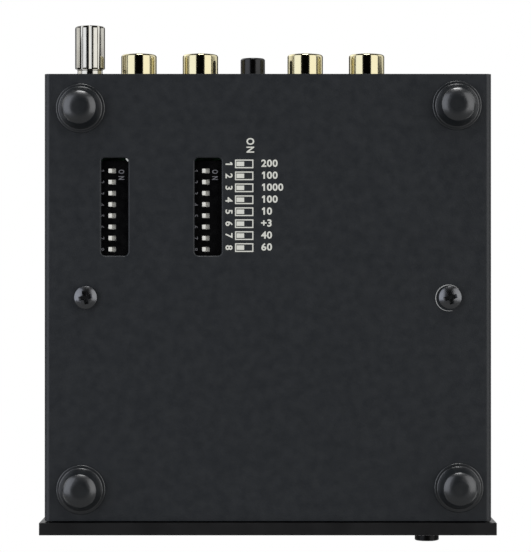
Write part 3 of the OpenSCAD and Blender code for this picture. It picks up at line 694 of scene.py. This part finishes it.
socket = {"face": 46.75, "root": -8.0, "shellTip": 6.4, "shell": 4.15, "shellRoot": 3.85,
          "shellFoot": 0.1, "bore": 3.4, "rim": 0.6, "inRim": 0.2, "coreTip": 6.0, "core": 3.35,
          "coreEdge": 0.15, "coreBore": 2.15, "contactTip": 5.6, "contact": 2.1, "contactEdge": 0.1,
          "contactBore": 1.65, "mouth": (0.12, 0.15), "stop": 1, "slit": 0.35, "slitDeep": 5}


def makeShell(s):
    # turned shell: bright barrel, rounded mouth, narrower root pressed into the block
    tip, shell, rim = s["shellTip"], s["shell"], s["rim"]
    root, bore, inRim, edge = s["root"], s["bore"], s["inRim"], s["shellFoot"]
    section = [(bore, root), (s["shellRoot"], root), (s["shellRoot"], -edge / 2)]
    section += [(shell - edge, -edge / 2), (shell, edge / 2)]
    section += arc(shell - rim, tip - rim, rim, 0, 90, 8)
    section += arc(bore + inRim, tip - inRim, inRim, 90, 180, 4)
    return turned("shell", section, 128, loop=True)


def makeCore(s):
    tip, edge, inRim = s["coreTip"], s["coreEdge"], s["inRim"]
    section = [(s["coreBore"], s["root"]), (s["core"], s["root"])]
    section += arc(s["core"] - edge, tip - edge, edge, 0, 90, 3)
    section += arc(s["coreBore"] + inRim, tip - inRim, inRim, 90, 180, 3)
    return turned("core", section, 80, loop=True)


def makeContact(s):
    # tube with four slits, so that its fingers grip a pin
    tip, root, edge, bore = s["contactTip"], s["root"], s["contactEdge"], s["contactBore"]
    flare, fall = s["mouth"]
    bottom = root + s["stop"]
    section = [(0, root), (s["contact"], root)] + arc(s["contact"] - edge, tip - edge, edge, 0, 90, 3)
    section += [(bore + flare, tip), (bore, tip - fall), (bore, bottom), (0, bottom)]
    half, reach, deep = s["slit"] / 2, s["contact"] + 0.9, s["slitDeep"]
    slits = [block("slit", (-u, -v, tip - deep), (u, v, tip + 1))
             for u, v in ((reach, half), (half, reach))]
    return cut(turned("contact", section, 64), *slits)


spots = {node: (x, socket["face"], socketAxis) for node, x in socketPlaces.items()}
for node, spot in spots.items():
    shell = placed(node, makeShell(socket), [spot], rearTip, "goldPlate")
    name = "shell" + node[9:].title().replace("_", "")
    addPiece(name, shell, "goldPlate", "socket_gold", "case", node)
whitePlaces = [spot for node, spot in reversed(spots.items()) if "left" in node]
redPlaces = [spot for node, spot in reversed(spots.items()) if "right" in node]
for hue, places in (("white", whitePlaces), ("red", redPlaces)):
    addPiece(hue + "Cores", placed(hue + "Cores", makeCore(socket), places, rearTip, hue + "Core"),
             hue + "Core", "core_" + hue, "case", f"rca_{hue}_insulators")
contacts = placed("pinContacts", makeContact(socket), whitePlaces + redPlaces, rearTip, "goldPlate",
                  [45] * 4)
addPiece("pinContacts", contacts, "goldPlate", "socket_gold", "case", "rca_contacts")
print("phono sockets made")


# ---- ground terminal ----

# spare is how far the hexagon runs up into its collar, hexTurned the width and fall of its cut corners
terminal = {"across": 5.5, "hexFoot": 46.95, "hexTurn": 20, "hexThick": 1.3, "spare": 0.2,
            "hexMouth": 0.25, "hexTurned": (0.6, 0.3), "cornerRound": 0.06, "collar": 2.95,
            "collarThick": 1.1, "collarEdge": 0.15, "collarMouth": 0.2, "bore": 1.55,
            "washerFoot": 49.35, "washer": 3.0, "washerThick": 0.3, "washerEdges": (0.06, 0.1),
            "nutFoot": 49.65, "nut": 3.5, "nutLength": 10.1, "nutFootEdge": 0.25, "nutRound": 0.7,
            "nutTurn": 4.6, "mouth": 0.3, "flutes": 10, "floor": 3.1, "floorSlope": 0.33,
            "floorHalf": 0.33, "wallSlope": 1.3, "stud": 1.5, "pitch": 0.5, "threadDepth": 0.3,
            "studFoot": 44.75, "studLength": 13.8, "headThick": 2, "headRound": 0.12}


def hexPrism(name, across, low, high):
    # hexagon bar between two heights, measured across its flats
    reach = across / 2 / cos(radians(30))
    points = [(reach * cos(radians(60 * i)), reach * sin(radians(60 * i))) for i in range(6)]
    return skin(name, [[(x, y, z) for x, y in points] for z in (low, high)])


def makeHexNut(t):
    # hexagon with its corners turned off, and a round collar that the washer seats on
    r, b, low, c = t["across"] / 2, t["bore"], t["hexThick"], t["hexMouth"]
    h = low + t["spare"]
    wide, fall = t["hexTurned"]
    section = [(b, c), (b + c, 0), (r, 0), (r + wide, fall), (r + wide, h - fall), (r, h), (b, h)]
    hexagon = cut(hexPrism("hex", t["across"], 0, h), turned("turnedHex", section, 96, loop=True),
                  operation="INTERSECT")
    high, c, e = low + t["collarThick"], t["collar"], t["collarEdge"]
    section = [(b, low), (c - e, low), (c, low + e)] + arc(c - e, high - e, e, 0, 90, 4)
    section += [(b + t["collarMouth"], high), (b, high - t["collarMouth"])]
    collar = turned("collar", section, 96, loop=True)
    return joined("hexNut", [softened(hexagon, t["cornerRound"], 2, 25), collar])


def makeWasher(t):
    r, b, h = t["washer"], t["bore"], t["washerThick"]
    c, e = t["washerEdges"]
    section = [(b, c), (b + c, 0), (r - e, 0), (r, e), (r, h - e), (r - e, h), (b + c, h), (b, h - c)]
    return turned("washer", section, 72, loop=True)


def addTerminalPiece(name, mesh, foot, finish, node, body, turn=0, sharp=32):
    # stands a piece on the terminal's axis, at its own depth and turn
    mesh = moved(mesh, Matrix.Rotation(radians(turn), 4, "Z"))
    mesh = rearwards(mesh, groundX, terminal[foot], socketAxis)
    addPiece(name, mesh, finish, "nickel", body, node, sharp=sharp)


addTerminalPiece("hexNut", makeHexNut(terminal), "hexFoot", "nickelPlate", "ground_hex_nut", "case",
                 terminal["hexTurn"])
addTerminalPiece("flatWasher", makeWasher(terminal), "washerFoot", "nickelPlate", "ground_washer",
                 "ground_washer")


# flutes: a shallow V floor between steep walls; the start is the angle of the first flute's middle
fluteInputs = {"Flutes": ("Int", 10), "Floor": ("Float", 3.1), "Floor Slope": ("Float", 0.33),
               "Floor Half": ("Float", 0.33), "Wall Slope": ("Float", 1.3), "Land": ("Float", 3.5),
               "Start": ("Float", 0.0)}
fluteSteps = [("turn", "SUBTRACT", "angle", "Start"), ("half", "DIVIDE", pi, "Flutes"),
              ("back", "MULTIPLY", "half", -1.0), ("swing", "WRAP", "turn", "half", "back"),
              ("sine", "SINE", "swing"), ("sideways", "MULTIPLY", "Land", "sine"),
              ("side", "ABSOLUTE", "sideways"), ("ramp", "MULTIPLY_ADD", "side", "Floor Slope", "Floor"),
              ("past", "SUBTRACT", "side", "Floor Half"), ("steep", "MAXIMUM", "past", 0.0),
              ("limit", "MULTIPLY_ADD", "steep", "Wall Slope", "ramp")]


def makeThumbNut(t):
    # turned blank with points where the walls of the flutes meet their floors and the lands
    r, half, floorHalf = t["nut"], pi / t["flutes"], t["floorHalf"]
    fluteHalf = (r - t["floor"] + t["wallSlope"] * floorHalf) / (t["floorSlope"] + t["wallSlope"])
    across = [-fluteHalf, -(fluteHalf + floorHalf) / 2, -floorHalf, -floorHalf / 2, 0]
    sides = [asin(u / r) for u in across + [-u for u in across[-2:0:-1]]]
    angles = []
    for i in range(t["flutes"]):
        middle = 2 * half * (i + 0.5)
        angles += [middle + side for side in sides]
        start, end = middle + asin(fluteHalf / r), middle + 2 * half - asin(fluteHalf / r)
        angles += [start + (end - start) * k / 6 for k in range(6)]
    bore, length, edge, foot, mouth = t["bore"], t["nutLength"], t["nutRound"], t["nutFootEdge"], t["mouth"]
    section = [(bore, mouth), (bore + mouth, 0), (r - foot, 0), (r, foot)]
    section += arc(r - edge, length - edge, edge, 0, 90, 7)
    section += [(bore + mouth, length), (bore, length - mouth)]
    return grown("thumbNut", makeLatheTree("pressFlutes", fluteInputs, fluteSteps),
                 turned("blank", section, loop=True, angles=angles),
                 {"Flutes": t["flutes"], "Floor": t["floor"], "Floor Slope": t["floorSlope"],
                  "Floor Half": floorHalf, "Wall Slope": t["wallSlope"], "Land": r, "Start": half,
                  "Finish": paint["flutedNickel"]})


addTerminalPiece("thumbNut", makeThumbNut(terminal), "nutFoot", "flutedNickel", "ground_thumb_nut",
                 "ground_thumb_nut", terminal["nutTurn"], sharp=28)


# V thread: the radius falls and rises once for each pitch
threadInputs = {"Pitch": ("Float", 0.5), "Crest": ("Float", 1.5), "Depth": ("Float", 0.3)}
threadSteps = [("turns", "DIVIDE", "angle", 2 * pi), ("rise", "DIVIDE", "z", "Pitch"),
               ("climb", "SUBTRACT", "rise", "turns"), ("tooth", "PINGPONG", "climb", 0.5),
               ("half", "MULTIPLY", "tooth", 2.0), ("cut", "MULTIPLY", "half", "Depth"),
               ("limit", "SUBTRACT", "Crest", "cut")]


def makeStud(t, rowsEach=6):
    # threaded rod with a hexagon head behind the panel
    r, length, depth = t["stud"], t["studLength"], t["threadDepth"]
    rows = int(length / t["pitch"] * rowsEach)
    section = [(0, 0), (r, 0)] + [(r, length * i / rows) for i in range(1, rows)]
    section += [(r - depth, length), (0, length)]
    rod = grown("stud", makeLatheTree("windThread", threadInputs, threadSteps), turned("rod", section, 36),
                {"Pitch": t["pitch"], "Crest": r, "Depth": depth, "Finish": paint["nickelPlate"]})
    return joined("stud", [rod, softened(hexPrism("head", t["across"], -t["headThick"], 0), t["headRound"])])


addTerminalPiece("threadedStud", makeStud(terminal), "studFoot", "nickelPlate", "ground_stud", "case")
print("ground terminal made")


# ---- push button ----

pushButton = {"x": -37, "z": tubeMiddle, "radius": 2.8, "tip": -59.83, "back": -52.0, "edge": 0.28,
              "flange": 3.7, "flangeThick": 1.0, "flangeEdge": 0.1, "socket": (3.1, 4.0)}


def makeButton(b):
    # turned cap: flat end with its edge rounded, a flange behind the plate, a square socket for the plunger
    length, r, e, f, c = b["back"] - b["tip"], b["radius"], b["edge"], b["flange"], b["flangeEdge"]
    thick = b["flangeThick"]
    section = [(0, 0), (f - c, 0), (f, c), (f, thick - c), (f - c, thick), (r, thick)]
    section += arc(r - e, length - e, e, 0, 90, 6) + [(0, length)]
    wide, deep = b["socket"]
    socketHole = block("socketHole", (-wide / 2, -wide / 2, -1), (wide / 2, wide / 2, deep))
    cap = cut(turned("button", section, 96), socketHole)
    return moved(cap, Matrix.Rotation(radians(90), 4, "X"), Matrix.Translation((b["x"], b["back"], b["z"])))


addPiece("buttonCap", makeButton(pushButton), "buttonBlack", "button_black", "power_button", "button_cap")
print("push button made")


# ---- switch banks ----

bank = {"centres": {"outer": 35.4, "inner": 14.2}, "middle": 16.52, "width": 9.9, "length": 22.3,
        "face": 6.6, "back": 12.0, "edge": 0.12, "wall": 0.8, "front": 0.6, "count": 8, "pitch": 2.54,
        "slot": (1.68, 1.1), "slotRound": 0.12, "lip": 0.08, "channel": (3.7, 1.55, 0.9), "travel": 0.8,
        "shift": -0.13, "nub": (0.82, 0.98, 0.55), "nubRound": 0.1, "shoe": (2.7, 1.45, 0.8),
        "shoeRound": 0.06, "play": 0.05}


def rowAt(b, i):
    # distance of a row from the middle of its bank
    return ((b["count"] + 1) / 2 - i) * b["pitch"]


def slotCutter(b):
    # slot through the face, flared at the outside, with the channel that the shoe runs in
    width, length = b["slot"]
    lip, corner = b["lip"], b["slotRound"]
    rings = []
    for depth, grow in ((-0.4, lip), (0, lip), (lip * 0.4, lip * 0.3), (lip, 0), (0.8, 0)):
        ring = outline(width + 2 * grow, length + 2 * grow, corner + grow, 3)
        rings.append([(u, v, depth) for u, v in ring])
    run, tall, _ = b["channel"]
    channel = block("channel", (-run / 2, -tall / 2, b["front"]), (run / 2, tall / 2, b["front"] + 3))
    return cut(skin("slot", rings), channel, operation="UNION")


def makeHousing(b, x):
    w, l, deep = b["width"], b["length"], b["back"] - b["face"]
    shell = softened(block("housing", (-w / 2, -l / 2, 0), (w / 2, l / 2, deep)), b["edge"])
    rows = [(b["shift"], rowAt(b, i), 0) for i in range(1, b["count"] + 1)]
    slots = placed("slots", slotCutter(b), rows, noTip, "switchBlack")
    t, low = b["wall"], b["front"] + b["channel"][2]
    pocket = block("pocket", (t - w / 2, t - l / 2, low), (w / 2 - t, l / 2 - t, deep + 1))
    return moved(cut(shell, slots, pocket), Matrix.Translation((x, b["middle"], b["face"])))


def makeSlider(b):
    # a nub that stands out of the slot, on the shoe that keeps it captive
    w, l, proud = b["nub"]
    run, tall, thick = b["shoe"]
    low = b["front"] + b["play"]
    shoe = block("shoe", (-run / 2, -tall / 2, low), (run / 2, tall / 2, low + thick))
    nub = block("nub", (-w / 2, -l / 2, -proud), (w / 2, l / 2, low + b["play"]))
    return joined("slider", [softened(nub, b["nubRound"], 3), softened(shoe, b["shoeRound"], 2)])


for side, x in bank["centres"].items():
    addPiece(side + "Housing", makeHousing(bank, x), "switchBlack", "dip_black", "case",
             f"dip_{side}_housing")
    for i in range(1, bank["count"] + 1):
        spot = (x + bank["shift"] + bank["travel"] / 2, bank["middle"] + rowAt(bank, i), bank["face"])
        slider = moved(makeSlider(bank), Matrix.Translation(spot))
        node = f"dip_{side}_slider_{i}"
        addPiece(f"{side}Slider{i}", slider, "sliderWhite", "dip_white", node, node)
print("switch banks made")


# ---- printing on the base and on the switch housings ----

faceDown = Matrix.Rotation(pi, 4, "Y")  # a plane seen from below, its right side towards -X
capHeight = 0.682  # of a letter of size 1


def glyph(letter, tall, squeeze, bold, thick):
    # one character, centred on X with its foot at 0; the built-in plain 1 gets a flag
    if letter == "1":
        w = tall * 0.145 + 2 * bold
        points = [(w / 2, 0), (w / 2, tall), (w * 0.05 - w / 2, tall), (-0.3 * tall, tall * 0.83),
                  (-0.3 * tall, tall * 0.83 - w), (-w / 2, tall * 0.93 - w), (-w / 2, 0)]
        return skin("one", [[(x + 0.05 * tall, y, z) for x, y in points] for z in (-thick / 2, thick / 2)])
    curve = bpy.data.curves.new("letter", "FONT")
    curve.body = letter
    curve.size = (tall - 2 * bold) / capHeight
    curve.extrude = thick / 2
    curve.offset = bold
    curve.resolution_u = 3
    mesh = baked(makeObject("letter", curve))
    across = [v.co.x for v in mesh.vertices]
    middle = (min(across) + max(across)) / 2
    return moved(mesh, Matrix.Translation((-middle, bold, 0)), Matrix.Diagonal((squeeze, 1, 1, 1)))


def lettering(words, x, y, z, tall, pace, squeeze, bold, quarter=0, thick=0.02):
    # characters at an even pace from a point of the base; a quarter turn runs them towards the front
    parts = [moved(glyph(letter, tall, squeeze, bold, thick), Matrix.Translation(((i + 0.5) * pace, 0, 0)))
             for i, letter in enumerate(words)]
    return moved(joined("words", parts), Matrix.Rotation(radians(-90 * quarter), 4, "Z"), faceDown,
                 Matrix.Translation((x, y, z)))


basePrint = {"base": baseHeight, "symbolX": 5.35, "labelRise": 0.15, "firstRow": 26.91, "pitch": 2.70,
             "width": 4.15, "height": 1.96, "line": 0.25, "thick": 0.02, "fill": (1.72, 1.02),
             "fillGap": 0.1,
             "numbers": dict(x=9.57, rise=0.6, tall=1.58, pace=1.2, squeeze=1.07, bold=0.05),
             "labels": dict(x=1.55, tall=1.64, pace=1.27, squeeze=1.07, bold=0.06),
             "switchOn": dict(x=4.83, y=32.92, tall=1.74, pace=1.86, squeeze=0.84, bold=0.06),
             "values": ["200", "100", "1000", "100", "10", "+3", "40", "60"]}


def symbolRows(p, shift=0.0):
    # the places of the small switch pictures down their column
    x = p["symbolX"] + shift
    return [(x, p["firstRow"] - i * p["pitch"], p["base"]) for i in range(len(p["values"]))]


def makeFrames(p):
    # frames of the switch pictures, four bars each
    w, h, line, t = p["width"], p["height"], p["line"], p["thick"] / 2
    bars = [(w, line, 0, (h - line) / 2), (w, line, 0, (line - h) / 2),
            (line, h - 2 * line, (w - line) / 2, 0), (line, h - 2 * line, (line - w) / 2, 0)]
    frame = [block("bar", (x - u / 2, y - v / 2, -t), (x + u / 2, y + v / 2, t)) for u, v, x, y in bars]
    return placed("frames", joined("frame", frame), symbolRows(p), noTip, "printInk")


def makeBasePrint(p):
    parts = [makeFrames(p)]
    numbers, labels = dict(p["numbers"]), p["labels"]
    rise = numbers.pop("rise")
    for i, words in enumerate(p["values"]):
        y = p["firstRow"] - i * p["pitch"]
        parts.append(lettering(words, y=y + p["labelRise"] - labels["tall"] / 2, z=p["base"], **labels))
        parts.append(lettering(str(i + 1), y=y + rise, z=p["base"], quarter=1, **numbers))
    parts.append(lettering("ON", z=p["base"], quarter=1, **p["switchOn"]))
    return joined("basePrint", parts)


addPiece("basePrint", makeBasePrint(basePrint), "printInk", "sleeve_coat", "case")


def makeFills(p):
    # the bar in each picture that stands for the slider
    long, tall = p["fill"]
    t = p["thick"] / 2
    shift = p["width"] / 2 - p["line"] - p["fillGap"] - long / 2
    fill = block("fill", (-long / 2, -tall / 2, -t), (long / 2, tall / 2, t))
    return placed("fills", fill, symbolRows(p, shift), noTip, "printInk")


addPiece("symbolFills", makeFills(basePrint), "printInk", "sleeve_coat", "case")


bankMarks = {"numbers": dict(tall=1.05, pace=0.8, squeeze=0.95, bold=0.01), "numberSide": 2.73,
             "numberRise": 0.4, "switchOn": dict(tall=1.31, pace=1.42, squeeze=0.65, bold=0.04),
             "onSide": -1.58, "onRise": 9.4}


def makeMarks(b, m):
    # numbers on one side of each bank, the word for a closed switch on the other
    parts = []
    for x in b["centres"].values():
        for i in range(1, b["count"] + 1):
            y = b["middle"] + rowAt(b, i) + m["numberRise"]
            parts.append(lettering(str(i), x + m["numberSide"], y, b["face"], quarter=1, **m["numbers"]))
        y = b["middle"] + m["onRise"]
        parts.append(lettering("ON", x + m["onSide"], y, b["face"], quarter=1, **m["switchOn"]))
    return joined("bankMarks", parts)


addPiece("bankMarks", makeMarks(bank, bankMarks), "markInk", "dip_black", "case")
print("printing made")


# ---- finishes of the pieces that keep their solid ----

nodeFinish = {
    "zincSheet": ["front_bracket"], "solderMask": ["pcb"], "plainBrass": ["pcb_standoffs", "ground_lug"],
    "zincScrew": ["pcb_screws"], "blackAbs": ["rca_input_housing", "rca_output_housing"],
    "blackPolyamide": ["power_jack_housing"], "tinPlate": ["power_jack_contact", "dip_pins"],
    "nickelPlate": ["ground_lock_washer"], "greyNylon": ["push_switch_body"],
    "whiteAcetal": ["push_switch_plunger"], "clearEpoxy": ["led"], "switchBlack": ["dip_bases"],
    "blueSleeve": ["electrolytic_capacitors"], "redBox": ["film_capacitors"],
    "chipEpoxy": ["op_amps", "voltage_regulators"], "tanLacquer": ["resistors"],
}
for finish, plain in nodeFinish.items():
    for node in plain:
        for place in nodes[node].material_slots:
            place.material = paint[finish]


# ---- camera, lamps and stage ----

white = (1, 1, 1, 1)

# where the camera stands in metres, its tilt in degrees, its lens and sensor in mm
view = {"spot": (0.000539, 0.000661, -0.529085), "tilt": -0.1003, "lens": 154.28, "sensor": 36.0}


def addCamera(v):
    # straight up from below the floor, the rear of the part towards the top of the frame
    camera = makeObject("camera", bpy.data.cameras.new("camera"))
    camera.data.lens = v["lens"]
    camera.data.sensor_width = v["sensor"]
    camera.data.clip_start = 0.01
    camera.data.clip_end = 100.0
    camera.matrix_world = (Matrix.Translation(v["spot"]) @ Matrix.Rotation(radians(v["tilt"]), 4, "X")
                           @ Matrix.Rotation(pi, 4, "Y"))
    scene.camera = camera


addCamera(view)

# metres, and the radiance of each face: two broad boxes below, a strip behind, two more above for a look
# from the top
lamps = {
    "leftUnderLamp": dict(spot=(0.72, 0.34, -0.539), target=(0, 0.34, 0.02), size=(0.804, 1.16),
                          radiance=1.25, colour=(0.95, 0.99, 1.1)),
    "rightUnderLamp": dict(spot=(-0.72, 0.34, -0.539), target=(0, 0.34, 0.02), size=(0.804, 1.16),
                           radiance=1.25, colour=(0.99, 0.99, 1.0)),
    "rearStrip": dict(spot=(-0.02, 1.0, -0.25), target=(0, 0, 0), size=(0.2, 0.4), radiance=12.0,
                      along=(1, 0, 0)),
    "keyLamp": dict(spot=(-0.5, -0.9, 1.2), target=(0, 0, 0.02), size=(1.0, 1.0), radiance=1.8),
    "fillLamp": dict(spot=(0.8, 0.9, 1.0), target=(0, 0, 0.02), size=(1.0, 1.0), radiance=1.2),
}


def addLamp(name, spot, target, size, radiance, along=(0, 1, 0), colour=(1, 1, 1)):
    # soft box; its power follows from the radiance wanted on its face
    data = bpy.data.lights.new(name, "AREA")
    data.shape = "RECTANGLE"
    data.size, data.size_y = size
    data.energy = radiance * pi * size[0] * size[1]
    data.color = colour
    lamp = makeObject(name, data)
    back = (Vector(spot) - Vector(target)).normalized()
    side = Vector(along).cross(back).normalized()
    turn = Matrix((side, back.cross(side), back)).transposed().to_4x4()
    lamp.matrix_world = Matrix.Translation(spot) @ turn
    lamp.visible_camera = False


for name, row in lamps.items():
    addLamp(name, **row)


def makeWorld(lightLevel=0.62):
    # white wherever it is seen or mirrored, and a softer light on the part
    world = bpy.data.worlds.new("studio")
    world.use_nodes = True
    tree = world.node_tree
    tree.nodes.clear()
    path = addNode(tree, "ShaderNodeLightPath").outputs
    bent = addNode(tree, "ShaderNodeMath", {0: path["Is Glossy Ray"], 1: path["Is Transmission Ray"]},
                   operation="MAXIMUM")
    seen = addNode(tree, "ShaderNodeMath", {0: path["Is Camera Ray"], 1: bent.outputs[0]},
                   operation="MAXIMUM")
    level = addNode(tree, "ShaderNodeMapRange", {"Value": seen.outputs[0], "To Min": lightLevel})
    sky = addNode(tree, "ShaderNodeBackground", {"Color": white, "Strength": level.outputs["Result"]})
    addNode(tree, "ShaderNodeOutputWorld", {"Surface": sky.outputs[0]})
    return world


scene.world = makeWorld()


def addSheet(name, corners, material):
    # one face of the stage, in metres, that lights and shades nothing by itself
    mesh = bpy.data.meshes.new(name)
    mesh.from_pydata(corners, [], [(0, 1, 2, 3)])
    mesh.materials.append(material)
    sheet = makeObject(name, mesh)
    sheet.visible_shadow = sheet.visible_diffuse = sheet.visible_transmission = False
    return sheet


def addFloor(half=4):
    # pale paper, seen only from above; from below the camera looks through it
    material, tree = blankMaterial("palePaper")
    face = addNode(tree, "ShaderNodeBsdfDiffuse", {"Color": linear("#ececea")})
    clear = addNode(tree, "ShaderNodeBsdfTransparent")
    back = addNode(tree, "ShaderNodeNewGeometry").outputs["Backfacing"]
    mix = addNode(tree, "ShaderNodeMixShader", {0: back, 1: face.outputs[0], 2: clear.outputs[0]})
    addNode(tree, "ShaderNodeOutputMaterial", {"Surface": mix.outputs[0]})
    corners = [(-half, -half, 0), (half, -half, 0), (half, half, 0), (-half, half, 0)]
    addSheet("floor", corners, material).visible_glossy = False


addFloor()


def addCard(name, low, high, level):
    # card that only reflections see; its box is flat along one axis
    material, tree = blankMaterial(name)
    glow = addNode(tree, "ShaderNodeEmission", {"Color": white, "Strength": level})
    addNode(tree, "ShaderNodeOutputMaterial", {"Surface": glow.outputs[0]})
    flat = next(i for i in range(3) if low[i] == high[i])
    a, b = (i for i in range(3) if i != flat)
    corners = []
    for first, second in ((low, low), (high, low), (high, high), (low, high)):
        point = list(low)
        point[a], point[b] = first[a], second[b]
        corners.append(point)
    addSheet(name, corners, material).visible_camera = False


# low corner, high corner, level: what the gloss of the part finds round the lamps
cards = {
    "underCard": ((-0.51, -0.12, -1.1), (0.51, 0.6, -1.1), 0.001),
    "underMiddleCard": ((-0.51, -0.45, -1.1), (0.51, -0.12, -1.1), 0.1),
    "underRearCard": ((-1.3, 0.6, -1.1), (1.3, 1.6, -1.1), 0.02),
    "underFrontCard": ((-1.3, -1.6, -1.1), (1.3, -0.45, -1.1), 0.19),
    "frontCard": ((-1.3, -1.6, -1.1), (1.3, -1.6, 0.0), 0.19),
    "frontHighCard": ((-1.3, -1.6, 0.0), (1.3, -1.6, 0.8), 0.03),
    "rearCard": ((-1.5, 1.6, -1.1), (1.5, 1.6, 1.6), 0.03),
    "leftCard": ((1.3, -0.3, -0.45), (1.3, 0.155, 1.6), 0.02),
    "leftRearCard": ((1.3, 0.155, -0.45), (1.3, 1.6, -0.15), 0.02),
    "rightCard": ((-1.3, -0.3, -0.45), (-1.3, 0.18, 1.6), 0.02),
    "rightRearCard": ((-1.3, 0.18, -0.45), (-1.3, 1.6, -0.15), 0.02),
}
# the same on both sides: the left one is written down, the right one is its mirror image
pairedCards = {
    "FrontCard": ((1.3, -1.6, -1.1), (1.3, -0.3, 0.0), 0.19),
    "UnderCard": ((0.51, -0.45, -1.1), (1.3, 0.6, -1.1), 0.12),
    "BackCard": ((1.3, -0.3, -1.1), (1.3, 0.6, -0.45), 0.12),
    "LowCard": ((1.3, 0.6, -1.1), (1.3, 1.6, -0.45), 0.02),
    "TopCard": ((0.45, -1.0, 1.6), (1.5, 1.6, 1.6), 0.04),
}
for name, (low, high, level) in pairedCards.items():
    cards["left" + name] = (low, high, level)
    cards["right" + name] = ((-high[0], *low[1:]), (-low[0], *high[1:]), level)
for name, (low, high, level) in cards.items():
    addCard(name, low, high, level)

scene.view_settings.view_transform = "Standard"
print("camera, lamps and stage set")
